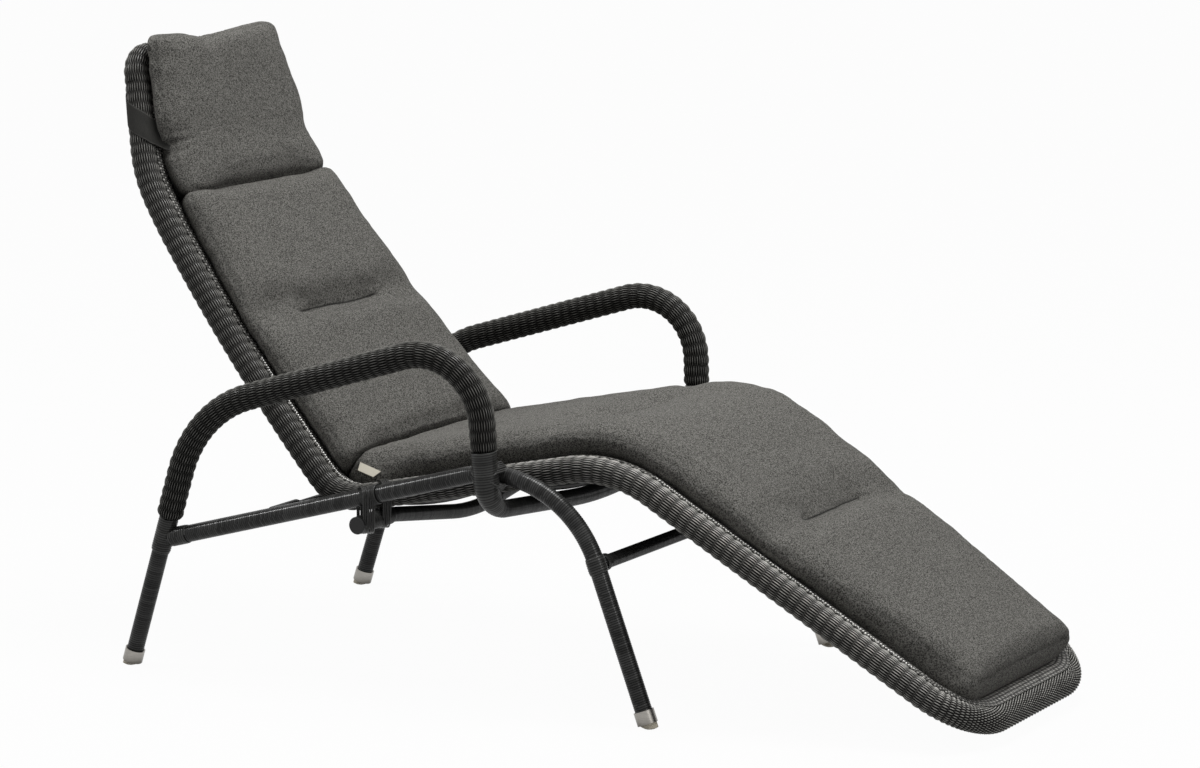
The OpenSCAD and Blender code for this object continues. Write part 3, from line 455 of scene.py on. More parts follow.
# Armrest sleeves: the strand is woven along the tube over and under hoops, sixty-two strands
# round and a hoop every sixteen millimetres, which gives the armrests their scalloped outline.
def woven_finish(name, shade, coat=0.35, head_shade_strength=0.0):
    """Strands on the laid map: columns are counted along, strands round. Grooves are painted near-black, as
    painted shade, so the crests read as painted highlights.
    """
    finish = Finish(name)
    along, around, _ = finish.axes(finish.laid())
    level = finish.node("ShaderNodeAttribute", {"attribute_name": "depth"}, {}, "Fac")
    tone = finish.chance(finish.join(along.floor(), around.floor()))
    cloud = finish.noise(finish.place(), 26.0, 3.0)
    fibre = finish.noise(finish.join(along * 4.0, around * 11.0), 1.0, 2.0)
    colour = finish.blend(tone * 0.6 + cloud * 0.4, tinted(shade, 0.5), tinted(shade, 1.55))
    # painted shade: towards the head end the strand colour is painted darker, standing in for the shade on
    # the rim's back part
    if head_shade_strength:
        towards_head = finish.axes(finish.place())[1]
        painted_head_shade = ((towards_head + 0.15) * 2.2).clamped()
        colour = finish.blend(painted_head_shade * head_shade_strength, colour, tinted(shade, 0.25))
    raised = ((level - 0.26) * 1.9).clamped().maths("POWER", 1.2)
    # painted shade: where a strand is not raised, its colour is painted near-black
    colour = finish.blend(1 - raised, colour, tinted(shade, 0.03))
    # painted highlight: where depth is marked above 1.3, a short dash at a column's end is painted bright as
    # a glint
    painted_glint = ((level - 1.3) * 1.4).clamped()
    colour = finish.blend(painted_glint, colour, tinted(shade, 2.4))
    roughness = 0.34 + (1 - raised) * 0.4 + fibre * 0.10
    sheen = {"Coat Weight": raised * coat, "Coat Roughness": 0.22, "Specular IOR Level": 0.06}
    return finish.surface(colour, roughness, fibre, relief=0.0003, strength=0.4, **sheen)


strands_round = 62
strand_over = 0.0006
strand_groove = 0.0012


def weave(name, route, marks, radius, bulge, samples, shut=False, glint_strands=()):
    """A woven tube. Columns begin at the marks, and every other strand shows in a column."""
    around = 2 * strands_round
    rows = samples * (len(marks) - 1)

    def shape(i, j):
        beat = i / samples
        place = np.interp(beat, np.arange(len(marks)), marks)
        swell = np.sin(math.pi * (beat % 1.0))
        arch = np.sqrt(np.maximum(swell, 0.0))
        column = np.minimum(beat, len(marks) - 1.001).astype(int)
        pinch = np.interp(np.diff(marks)[column], [0.005, 0.012], [0.24, 0.56])
        strand = (j % around) // 2
        showing = (strand + column) % 2 == 0
        top = j % 2 == 1
        rise = np.where(showing, pinch + (1 - pinch) * swell, pinch - pinch * swell)
        lean = np.where(top, 0.0, np.where(showing, -0.28, 0.28) * arch)
        level = np.where(top, -strand_groove + (strand_over + strand_groove) * rise, -strand_groove)
        depth = np.where(top, rise, 0.0)
        # on the glint strands, the first vertex of each column is set flush and marked for a painted bright
        # dash
        here = np.isin(strand, glint_strands) & top & (i % samples == 0)
        level = np.where(here, 0.5 * strand_over, level)
        depth = np.where(here, 2.2, depth)
        base = radius(place) if callable(radius) else np.full(len(place), radius)
        angle = 2 * math.pi * (j + lean) / around
        return ring_point(route, place, angle, base + level + bulge * swell), depth

    def laid(i, j):
        return i / samples, j / 2

    return laid_grid(name, rows, around, shape, laid, capped=not shut)


sleeve_radius = 0.0190
column_pitch = 0.016
woven_charcoal = woven_finish("woven_charcoal", (0.190, 0.187, 0.174))


def sleeve_thickness(length):
    def radius(place):
        near_end = np.clip(np.minimum(place + 0.004, length - place + 0.004) / 0.012, 0.0, 1.0)
        return tube + (sleeve_radius - tube) * np.sin(near_end * math.pi / 2)

    return radius


for hand, sign in (("left", -1), ("right", 1)):
    line = [rear_leg(0.240), arm_rear, arm_front, upright(0.390)]
    line = [(sign * p[0], p[1], p[2]) for p in line]
    length, route = follow(smooth_path(line, half_bends[:2], 0.006))
    marks = np.linspace(0.0, length, round(length / column_pitch) + 1)
    # the two strands that carry the painted glint dashes
    glint_strands = np.arange(2) + (18 if sign < 0 else 42)
    sleeve = weave(f"{hand}_woven_sleeve", route, marks, sleeve_thickness(length), bulge=0.0009,
                   samples=5, glint_strands=glint_strands)
    put(sleeve, woven_charcoal, "woven_resin", f"{hand}_arm_weave")

# Lashings: single strands tied crosswise round two tubes, at the uprights and along the cross
# tube. The same strand as the weave, pulled tight in close turns.
lashing = moulded_finish("lashing_charcoal", (0.034, 0.034, 0.032), 0.30)
strand_radius = 0.0013


def gathered(name, parts):
    """Several meshes as one piece."""
    whole = bmesh.new()
    for part in parts:
        whole.from_mesh(part.data)
        mesh = part.data
        bpy.data.objects.remove(part)
        bpy.data.meshes.remove(mesh)
    mesh = bpy.data.meshes.new(name)
    whole.to_mesh(mesh)
    whole.free()
    piece = bpy.data.objects.new(name, mesh)
    bpy.context.collection.objects.link(piece)
    return piece


def lashed(centre, out, across, apart, near, far, stretch, turns, pitch, slope=0.0):
    """Close turns round two bars whose centres lie apart, one after the other along the joint."""
    out, across = Vector(out).normalized(), Vector(across).normalized()
    aside = out.cross(across)
    strands = []
    for k in range(turns):
        offset = (k - (turns - 1) / 2) * pitch
        points = []
        for step in range(65):
            a = 2 * math.pi * step / 64
            first = math.cos(a) >= 0
            r = (near if first else far) + strand_radius
            middle = 0.0 if first else slope * r * math.sin(a) - apart
            lift = 0.0002 * math.sin(3 * a + 1.7 * k)
            point = Vector(centre) + out * (middle + (r + lift) * math.cos(a))
            point = point + across * (r * stretch * math.sin(a))
            points.append(tuple(point + aside * (offset + 0.0003 * math.sin(2 * a + 2.3 * k))))
        length, route = follow(np.array(points))

        def shape(i, j):
            radius = np.full(len(i), strand_radius)
            return ring_point(route, length * i / 72, 2 * math.pi * j / 8, radius), np.ones(len(i))

        strands.append(laid_grid("strand", 72, 8, shape, lambda i, j: (i / 8, j / 8)))
    return strands


def ridged(base, ridge, turn):
    """Radius along a winding whose turns stand up as round ridges."""
    return lambda place: base + ridge * np.abs(np.sin(place * math.pi / turn))


diagonal = math.sqrt(0.5)
lash_pitch = 0.0027
gripped_tube = 0.01345
rail_fall = 0.2717
rail_over_cross = 0.0395
rim_over_cross = 0.034658
crossing = upright(0.350749)
for hand, sign in (("left", -1), ("right", 1)):
    slanting = (-sign * diagonal, diagonal, 0.0)
    over_rail = lashed(
        (sign * 0.3137, cross_y, cross_z), (0, 0, -1), slanting, rail_over_cross, near=gripped_tube,
        far=gripped_tube, stretch=math.sqrt(2), slope=rail_fall, turns=7, pitch=lash_pitch)
    put(gathered(f"{hand}_cross_lashing", over_rail), lashing, "woven_resin", "cross_tube_lashings")
    over_rim = lashed(
        (sign * 0.26559, cross_y, cross_z), (0, 0, -1), slanting, rim_over_cross, near=gripped_tube,
        far=0.0211, stretch=math.sqrt(2), slope=0.2053, turns=5, pitch=lash_pitch)
    put(gathered(f"{hand}_rim_lashing", over_rim), lashing, "woven_resin", "shell_ties")
    crossed = []
    for plane, stretch in ((134.88, 1.348), (44.88, 1.491)):
        slant = math.radians(plane)
        crossed += lashed(
            (sign * crossing[0], *crossing[1:]), (sign, 0, 0), (0, math.cos(slant), math.sin(slant)), 0.0269,
            near=0.0138, far=gripped_tube, stretch=stretch, turns=6, pitch=0.0031)
    put(gathered(f"{hand}_upright_lashing", crossed), lashing, "woven_resin", "rail_lashings")

    on_rail = [(sign * 0.3137, cross_y + off, 0.29967 - rail_fall * off) for off in (-0.024, 0.002)]
    on_cross = [(sign * x, cross_y, cross_z) for x in (0.248, cross_end)]
    for name, ends_at, base, ridge, turn in (
        ("rail_rings", on_rail, 0.0142, 0.0009, 0.0034),
        ("cross_winding", on_cross, 0.0127, 0.0008, 0.0036),
    ):
        rings = wind(f"{hand}_{name}", np.array(ends_at), ridged(base, ridge, turn), turn / 2,
                     relief=0.0001, sides=24)
        put(rings, joint_charcoal, "woven_resin", "cross_tube_lashings")

# Feet: a satin metal sleeve, painted darker at both ends as painted shade, is pushed up over the end of each
# leg. A cream plastic glide with a stem plugs into the tube and stands on the floor.
satin = Finish("satin_sleeve")
brushed = satin.noise(satin.place((1.0, 1.0, 40.0)), 60.0, 3.0)
sleeve_colour = satin.blend(brushed, (0.22, 0.21, 0.195), (0.46, 0.44, 0.405))
above_floor = satin.axes(satin.place())[2]
# painted shade: the sleeve is painted dark towards both ends, mottled by noise, to give it form
from_middle = ((above_floor - 0.0225) * 62.0).maths("ABSOLUTE").maths("POWER", 2.0).maths("MINIMUM", 1.0)
end_shade_mottle = satin.noise(satin.place(), 90.0, 3.0)
sleeve_colour = satin.blend(from_middle * 0.65 + end_shade_mottle * 0.25, sleeve_colour, (0.055, 0.050, 0.042))
refinish("foot_ferrules", satin.surface(
    sleeve_colour, brushed * 0.2 + 0.22, brushed, relief=0.0001, strength=0.3, Metallic=1.0))
refinish("foot_glides", moulded_finish("glide_cream", (0.62, 0.57, 0.46), 0.5))

# Shell: a metal rim tube and cross ribs, bent to an S from head to foot. The rim is woven over
# like the armrests, with closer hoops at the head and foot ends.
dulled = Finish("dulled_tube")
dull_grain = dulled.noise(dulled.place((1.0, 8.0, 8.0)), 120.0, 3.0)
dull_colour = dulled.blend(dull_grain, (0.06, 0.06, 0.06), (0.13, 0.13, 0.125))
dull_metal = dulled.surface(
    dull_colour, dull_grain * 0.2 + 0.45, dull_grain, relief=0.0001, strength=0.3, Metallic=1.0)
for node in ("shell_rim_tube", "shell_ribs"):
    refinish(node, dull_metal)
bend_marks = np.array([0.0, 0.132, 0.223804, 0.738804, 0.819229, 1.17023, 1.3165, 1.8885])
bend_angles = np.radians([75, 75, 55, 46, -11.6, -11.6, 31.6, 31.6])
shell_length = bend_marks[-1]
track = np.linspace(0.0, shell_length, 7555)
track_angle = np.interp(track, bend_marks, bend_angles)
gain = np.diff(track)
turned = (track_angle[1:] + track_angle[:-1]) / 2
track_y = 0.722662 - np.concatenate([[0.0], np.cumsum(np.cos(turned) * gain)])
track_z = 0.917640 - np.concatenate([[0.0], np.cumsum(np.sin(turned) * gain)])
width_marks = [0.0, 0.223804, 0.779017, 1.3165, 1.8885]
width_halves = [0.160, 0.219, 0.268, 0.251, 0.208]


def on_shell(x, s, n):
    """x across, s down the shell from its head end, n out of its upper face."""
    angle = np.interp(s, track, track_angle)
    y = np.interp(s, track, track_y) - np.sin(angle) * n
    z = np.interp(s, track, track_z) + np.cos(angle) * n
    return np.stack([x + 0 * y, y, z], 1)


def half_width(s):
    span = np.clip(np.minimum(0.060, np.minimum(s, shell_length - s)), 0.0, None)
    return sum(np.interp(s + k * span / 2, width_marks, width_halves) for k in range(-2, 3)) / 5


head_corner = 0.038
foot_corner = 0.100
head_x = float(half_width(np.array(head_corner))) - head_corner
foot_x = float(half_width(np.array(shell_length - foot_corner))) - foot_corner


def rim_line():
    """The rim's centreline as x and s, once round from the middle of the head end."""
    side = np.linspace(head_corner, shell_length - foot_corner, 380)
    quarter = np.linspace(0.0, math.pi / 2, 24)
    foot_s = shell_length - foot_corner
    half = np.vstack([np.stack(pair, 1) for pair in (
        (np.linspace(0, head_x, 24), np.zeros(24)),
        (head_x + head_corner * np.sin(quarter), head_corner - head_corner * np.cos(quarter)),
        (half_width(side), side),
        (foot_x + foot_corner * np.cos(quarter), foot_s + foot_corner * np.sin(quarter)),
        (np.linspace(foot_x, 0, 24), np.full(24, shell_length)),
    )])
    line = np.vstack([half, half[::-1] * (-1, 1)])
    keep = np.concatenate([[True], np.linalg.norm(np.diff(line, axis=0), axis=1) > 1e-6])
    return line[keep]


rim_plan = rim_line()
rim_at = on_shell(rim_plan[:, 0], rim_plan[:, 1], 0.0 * rim_plan[:, 0])
rim_up = on_shell(rim_plan[:, 0], rim_plan[:, 1], 0.0 * rim_plan[:, 0] + 1.0) - rim_at
rim_marks = np.concatenate([[0.0], np.cumsum(np.linalg.norm(np.diff(rim_at, axis=0), axis=1))])
rim_length = rim_marks[-1]
rim_fine = np.linspace(0.0, rim_length, 3000)
rim_fine_at = np.stack([np.interp(rim_fine, rim_marks, rim_at[:, k]) for k in range(3)], 1)
rim_fine_up = np.stack([np.interp(rim_fine, rim_marks, rim_up[:, k]) for k in range(3)], 1)
looped = np.vstack([rim_fine_at[-3:-1], rim_fine_at, rim_fine_at[1:3]])
rim_way = np.gradient(looped, axis=0)[2:-2]
rim_way /= np.linalg.norm(rim_way, axis=1)[:, None]
rim_side = np.cross(rim_way, rim_fine_up)
rim_side /= np.linalg.norm(rim_side, axis=1)[:, None]
rim_table = np.hstack([rim_fine_at, rim_side, rim_fine_up])


def rim_route(place):
    found = np.stack([np.interp(place, rim_fine, rim_table[:, k]) for k in range(9)], 1)
    return found[:, :3], found[:, 3:6], found[:, 6:]


rim_s = np.interp(rim_fine, rim_marks, rim_plan[:, 1])
from_foot = np.clip((shell_length - rim_s - 0.020) / 0.100, 0.0, 1.0)
from_head = np.clip(rim_s / 0.060, 0.0, 1.0)
rim_pitch = 0.0052 + 0.0113 * from_foot - 0.006 * (1 - from_head)
# lit copy: the same strand as woven_charcoal, painted about three times lighter as a painted highlight, with
# painted shade towards the head end
lit_rim_charcoal = woven_finish("lit_rim_charcoal", (0.575, 0.564, 0.530), 0.5, 0.75)
rim_columns = np.cumsum(np.diff(rim_fine) / ((rim_pitch[1:] + rim_pitch[:-1]) / 2))
rim_columns = np.concatenate([[0.0], rim_columns])
half_columns = round(rim_columns[-1] / 2)
for hand, part in (("right", (0.0, 0.5)), ("left", (0.5, 1.0))):
    wanted = rim_columns[-1] * np.linspace(*part, half_columns + 1)
    marks = np.interp(wanted, rim_columns, rim_fine)
    rim = weave(f"{hand}_woven_rim", rim_route, marks, 0.0188, bulge=0.0008, samples=4, shut=True)
    put(rim, lit_rim_charcoal, "woven_resin", "shell_rim_weave")

# Panel: one sheet of the same strand, woven over and under in small squares. It is hung between
# the rim's inner sides and dips a little under the cushion.
dip_marks = np.array([0, 223.804, 481.304, 738.804, 845.365, 1066.84, 1316.5, 1788.5, 1888.5]) / 1000
dip_depths = np.array([2, 9, 18, 21.6, 29.4706, 33.2647, 20, 10, 2]) / 1000
edge_in = 0.0200
panel_drop = 0.004


def panel_level(x, s):
    """Height of the panel over the rim's centreline."""
    w = half_width(s) - edge_in
    dip = np.interp(s, dip_marks, dip_depths)
    arc = (w * w + dip * dip) / (2 * dip)
    u = np.minimum(np.abs(x), w)
    return arc - dip - panel_drop - np.sqrt(arc * arc - u * u)


def panel_half(s):
    def rounded(radius, left):
        rest = radius - np.clip(left / radius, 0, 1) * radius
        return radius - np.sqrt(radius * radius - rest * rest)

    foot_s = shell_length - foot_corner
    inner = half_width(np.clip(s, head_corner, foot_s)) - edge_in
    return inner - rounded(head_corner - edge_in, s - edge_in) - rounded(
        foot_corner - edge_in, shell_length - edge_in - s)


panel_rows = 220
panel_columns = 48
evenly = np.linspace(edge_in, shell_length - edge_in, 41)
closer_at_ends = edge_in + (shell_length - 2 * edge_in) * (0.5 - 0.5 * np.cos(np.linspace(0, math.pi, 41)))
row_place = np.interp(
    np.linspace(0, 1, panel_rows + 1), np.linspace(0, 1, 41), 0.25 * closer_at_ends + 0.75 * evenly)


def panel_shape(i, j):
    s = row_place[i]
    w = panel_half(s)
    x = w * (2 * j / panel_columns - 1)
    from_edge = np.minimum(w - np.abs(x), np.minimum(s - edge_in, shell_length - edge_in - s))
    return on_shell(x, s, panel_level(x, s)), from_edge


def panel_map(i, j):
    s = row_place[i]
    return s, panel_half(s) * (2 * j / panel_columns - 1)


panel = laid_grid(
    "woven_panel", panel_rows, panel_columns, panel_shape, panel_map, closed=False, capped=False)
thick = panel.modifiers.new("thick", "SOLIDIFY")
thick.thickness = 0.003
thick.offset = 0.0


def checker_finish(name, along_size, across_size, shade, glowing_eyelets=None):
    """Over and under weave on the laid map, in metres along and across. Squares are painted lighter and
    darker by over and under, partly at random, as painted highlight and shade, and the gaps between them
    near-black, as painted shade.
    """
    cloth = Finish(name)
    along, across, _ = cloth.axes(cloth.laid())
    warp = along * (1 / along_size)
    weft = across * (1 / across_size)
    over_warp = ((warp.floor() + weft.floor()) * 0.5).fract() * 2.0
    beads = {0: over_warp, 2: warp.bell(), 3: weft.bell()}
    bead = cloth.node("ShaderNodeMix", {"data_type": "FLOAT"}, beads, 0)
    shut = (warp.bell() * weft.bell()).maths("POWER", 1.2)
    tone = cloth.chance(cloth.join(warp.floor(), weft.floor()))
    # painted highlight and shade: over and under squares differ in brightness, and the gaps are painted
    # near-black
    colour = cloth.blend(tone * 0.4 + over_warp * 0.6, tinted(shade, 0.25), tinted(shade, 1.9))
    colour = cloth.blend(shut, tinted(shade, 0.05), colour)
    constants = {"Specular IOR Level": 0.10}
    # painted light: the eyelets are white dots that glow with emission, only along the leg and back parts
    if glowing_eyelets:
        row, pitch, size = glowing_eyelets
        aside = (across - row) * (1 / size)
        beside = ((along * (1 / pitch)).fract() - 0.5) * (pitch / size)
        ring = (aside * aside + beside * beside).maths("LESS_THAN", 1.0)
        length_at = cloth.axes(cloth.place())[1]
        on_leg = (length_at + 0.43).maths("ABSOLUTE").maths("LESS_THAN", 0.20)
        on_back = (length_at - 0.33).maths("ABSOLUTE").maths("LESS_THAN", 0.12)
        ring = ring * (on_leg + on_back)
        colour = cloth.blend(ring, colour, (0.95, 0.94, 0.90))
        constants["Emission Color"] = cloth.blend(ring, (0.0, 0.0, 0.0), (0.85, 0.85, 0.82))
        constants["Emission Strength"] = 1.0
    return cloth.surface(
        colour, bead * -0.12 + 0.5, bead * shut, relief=0.0016, strength=0.9, **constants)


panel_finish = checker_finish("panel_weave", 0.0044, 0.0036, (0.050, 0.049, 0.046))
put(panel, panel_finish, "woven_resin", "shell_panel")

# Selvedge: the panel's edge is drawn up flat over the rim's inner side, where it is sewn down.
# Along the back and the leg part, a row of small eyelets is painted white and made to glow, as painted light
# showing through; they are not open holes.
selvedge_in = np.array([0.0085, 0.0130, 0.0180, 0.0250, 0.0320, 0.0385])
selvedge_up = np.array([0.0178, 0.0176, 0.0168, 0.0150, 0.0120, 0.0080])
selvedge_rows = 1500


def selvedge_shape(i, j):
    at, side, up = rim_route(rim_length * i / selvedge_rows)
    return at + side * selvedge_in[j][:, None] + up * selvedge_up[j][:, None], np.zeros(len(i))


def selvedge_map(i, j):
    return rim_length * i / selvedge_rows, selvedge_in[j]


selvedge = laid_grid(
    "panel_selvedge", selvedge_rows, len(selvedge_in) - 1, selvedge_shape, selvedge_map, capped=False)
hem = selvedge.modifiers.new("hem", "SOLIDIFY")
hem.thickness = 0.0015
hem.offset = -1.0
# lit copy: the panel's own strand, painted about eight times lighter than panel_weave, as a painted
# highlight on the rim's top
lit_selvedge_finish = checker_finish(
    "lit_selvedge_weave", 0.0052, 0.0068, (0.420, 0.412, 0.388), glowing_eyelets=(0.0140, 0.0045, 0.0012))
put(selvedge, lit_selvedge_finish, "woven_resin")

# Cushion: three padded sections of charcoal melange cloth over foam, with one sewn tuft in the
# back and two in the seat. Each is sewn from an upper and a lower face with a side band.
fabric = Finish("charcoal_melange")
fleck = fabric.noise(fabric.place((1.0, 0.5, 0.5)), 840.0, 2.0, 0.7)
fleck_across = fabric.noise(fabric.place((0.45, 1.0, 1.0)), 780.0, 2.0, 0.7)
patch = fabric.noise(fabric.place(), 190.0, 3.0, 0.6)
cloudy = fabric.noise(fabric.place(), 9.0, 3.0)
yarn = fleck * 0.48 + fleck_across * 0.42 + patch * 0.10
mix = fabric.node("ShaderNodeMapRange", {}, {0: yarn, 1: 0.44, 2: 0.56, 3: 0.0, 4: 1.0})
fabric_colour = fabric.blend(mix, (0.036, 0.035, 0.032), (0.246, 0.240, 0.222))
fabric_colour = fabric.blend(cloudy * 0.2, fabric_colour, (0.100, 0.097, 0.090))
# painted shade: the depth attribute darkens the fabric along the seam and the tuft creases
painted_crease_shade = fabric.node("ShaderNodeAttribute", {"attribute_name": "depth"}, {}, "Fac")
fabric_colour = fabric.blend(painted_crease_shade, fabric_colour, (0.012, 0.012, 0.011))
tufts = {
    "headrest_cushion": [],
    "back_cushion": [(0.481304, 0.110)],
    "seat_cushion": [(1.14723, 0.095), (1.4815, 0.095)],
}
wander = 0.0015
wander_turns = 30.0
wander_shift = 40.0
across_at, length_at, height_at = fabric.axes(fabric.place())
tuft_crease_and_shade = 0.0
for tuft_s, tuft_half in tufts["back_cushion"] + tufts["seat_cushion"]:
    _, tuft_y, tuft_z = on_shell(0.0, np.array([tuft_s]), 0.04)[0]
    tuft_angle = float(np.interp(tuft_s, track, track_angle))
    down = length_at * -math.cos(tuft_angle) + height_at * -math.sin(tuft_angle)
    down = down + (tuft_y * math.cos(tuft_angle) + tuft_z * math.sin(tuft_angle))
    down = down + (across_at * wander_turns + tuft_s * wander_shift).maths("SINE") * -wander
    thin = (1 - down.maths("ABSOLUTE") * (1 / 0.0021)).maths("MAXIMUM", 0.0)
    within = ((tuft_half - across_at.maths("ABSOLUTE")) * 150.0).clamped()
    tuft_crease_and_shade = thin * within + tuft_crease_and_shade
# painted shade: the tufts' crease lines are painted near-black, and the same lines dent the bump
fabric_colour = fabric.blend(tuft_crease_and_shade.maths("MINIMUM", 0.9), fabric_colour, (0.010, 0.010, 0.009))
fabric_height = fleck * 0.6 + fleck_across * 0.6 - tuft_crease_and_shade * 3.0
fabric_finish = fabric.surface(
    fabric_colour, 0.95, fabric_height, relief=0.0006, strength=0.5, **{"Specular IOR Level": 0.12})

track_points = np.stack([track_y, track_z], 1)


def shell_place(points):
    """Place down the shell and height over its rim of points near it."""
    coarse = slice(None, None, 12)
    gap = points[:, None, 1:] - track_points[None, coarse]
    nearest = np.argmin((gap ** 2).sum(2), axis=1) * coarse.step
    angle = track_angle[nearest]
    off = points[:, 1:] - track_points[nearest]
    slide = -(off[:, 0] * np.cos(angle) + off[:, 1] * np.sin(angle))
    height = -off[:, 0] * np.sin(angle) + off[:, 1] * np.cos(angle)
    return track[nearest] + slide, height


ends = {
    "headrest_cushion": (-0.027, 0.236),
    "back_cushion": (0.2366, 0.753417),
    "seat_cushion": (0.754617, 1.853),
}
spreads = {"headrest_cushion": 0.0250, "back_cushion": 0.0220, "seat_cushion": 0.0190}


def ripple(along, across, seed):
    """Soft unevenness from a few crossing waves, between about -1 and 1."""
    total = 0.0
    for k in range(5):
        turn = 1.3 * k + seed
        way = along * math.cos(turn) + across * math.sin(turn)
        total = total + np.sin(way * (1.0 + 0.37 * k) * 2 * math.pi + 2.1 * k * seed) / (1.0 + 0.5 * k)
    return total / 2.6


seam_height = 0.0475
low_edge_drop = 0.0120
low_edge_spread = 0.0050
notch_off = 0.045
headrest_wrinkles = ((0.128, 0.10, 0.0022), (0.146, -0.04, 0.0026), (0.166, -0.22, 0.0020))


def bump_at(distance, width):
    return np.exp(-(distance / width) ** 2)


def tailored(piece, node, start, s, n):
    """Sewn lines, puckers and wrinkles, moved into the blown-up cover along its normals, and painted shade
    along the seam and the tufts, kept in the depth attribute.
    """
    now = vectors(piece.data.vertices, "co")
    normal = vectors(piece.data.vertex_normals, "vector")
    x = start[:, 0]
    first, last = ends[node]
    is_headrest = node == "headrest_cushion"
    half = half_width(np.clip(s, 0.0, shell_length)) - 0.033
    if is_headrest:
        half = np.interp(s, [0.0, 0.118, 0.236], [0.152, 0.177, 0.173])
    over_rim = rising(n, 0.006, 0.036)
    over_rim = over_rim * over_rim * (3 - 2 * over_rim)
    over_rim = over_rim * np.clip(1 - (half - np.abs(x)) / 0.070, 0.0, 1.0) ** 2
    pulled = 1 - 0.50 * is_headrest * bump_at(s - 0.148, 0.020) * np.where(x > 0, 0.5, 1.0)
    foot_fit = falling(s, 1.82, 0.22)
    if node == "seat_cushion":
        foot_fit = foot_fit * rising(s, 0.83, 0.10)
    now[:, 0] += np.sign(x) * spreads[node] * over_rim * pulled * foot_fit
    if is_headrest:
        low_edge = rising(n, 0.012, 0.026) * np.clip(1 - (last - s) / 0.045, 0.0, 1.0) ** 1.5
        lean = np.interp(s, track, track_angle)
        now[:, 1] -= low_edge_drop * low_edge * np.cos(lean)
        now[:, 2] -= low_edge_drop * low_edge * np.sin(lean)
        now[:, 0] += np.sign(x) * low_edge_spread * low_edge * over_rim
    to_side = np.minimum(half - np.abs(x), np.minimum(s - first, last - s))
    face = rising(n, 0.036, 0.008) * rising(to_side, 0.0, 0.010)
    side = falling(to_side, 0.012, 0.006)
    move = face * 0.0011 * ripple(s / 0.110, x / 0.110, 1.7)
    move += face * 0.0006 * ripple(s / 0.045, x / 0.045, 4.1)
    # the seam that joins the face to the side band, with painted shade along it, and the band's puckers
    # below it
    move -= 0.0016 * bump_at(n - seam_height, 0.0030) * side
    dark = 0.35 * bump_at(n - seam_height, 0.0022) * side
    around = s + np.sign(x) * 0.4 + x * (to_side > half - np.abs(x) + 0.002)
    band = side * rising(n, 0.004, 0.01) * falling(n, 0.046, 0.008)
    puckers = 0.0014 * ripple(around / 0.060, n / 0.25, 2.3) + 0.0008 * ripple(around / 0.024, n / 0.10, 5.9)
    move += band * puckers
    for tuft_s, tuft_half in tufts[node]:
        line = s - tuft_s - wander * np.sin(x * wander_turns + tuft_s * wander_shift)
        beyond = np.maximum(0.0, np.abs(x) - tuft_half)
        on_line = bump_at(beyond, 0.006)
        top = rising(n, 0.030, 0.006)
        move -= top * 0.0034 * bump_at(line, 0.0036) * on_line
        move -= top * 0.0015 * bump_at(line, 0.016) * bump_at(beyond, 0.016)
        # painted shade along the tuft's crease
        dark += 0.55 * top * bump_at(line, 0.0020) * bump_at(beyond, 0.004)
        pucker = np.sin(x * 2 * math.pi / 0.017 + 3.0 * np.sin(x * 21.0))
        move += top * 0.0004 * pucker * bump_at(np.abs(line) - 0.010, 0.008) * on_line
        for end in (-tuft_half, tuft_half):
            reach = np.hypot(line, x - end)
            fan = np.cos(6.0 * np.arctan2(line, (x - end) * np.sign(end)) + tuft_s * 9.0)
            move += top * 0.0011 * fan * bump_at(reach - 0.014, 0.012)
    if is_headrest:
        from_top = s - first
        from_notch = x + notch_off
        move -= 0.0065 * bump_at(from_notch, 0.022) * bump_at(from_top, 0.035) * (n > 0.0)
        crease = bump_at(from_notch - from_top * 0.12, 0.010) * np.clip(1 - from_top / 0.13, 0, 1)
        move -= face * 0.0022 * crease
        along = half + x
        fading = np.clip(1 - along / 0.085, 0, 1) * (n > 0.02)
        for wrinkle_s, lean, size in headrest_wrinkles:
            path = s - wrinkle_s - along * lean
            move -= size * bump_at(path, 0.0050) * fading
            move += 0.6 * size * bump_at(path - 0.010, 0.0060) * fading
    now += normal * move[:, None]
    piece.data.vertices.foreach_set("co", now.ravel())
    painted_crease_shade = piece.data.attributes.new("depth", "FLOAT", "POINT")
    painted_crease_shade.data.foreach_set("value", np.clip(dark, 0.0, 1.0))
    piece.data.update()


blown_frames = 20
cover_voxel = 0.005
most_blown = 0.009
cover_cloth = {
    "quality": 5,
    "mass": 0.3,
    "tension_stiffness": 12.0,
    "compression_stiffness": 12.0,
    "shear_stiffness": 4.0,
    "bending_stiffness": 0.4,
    "use_pressure": True,
    "uniform_pressure_force": 4.0,
    "shrink_min": -0.035,
    "vertex_group_mass": "held",
}


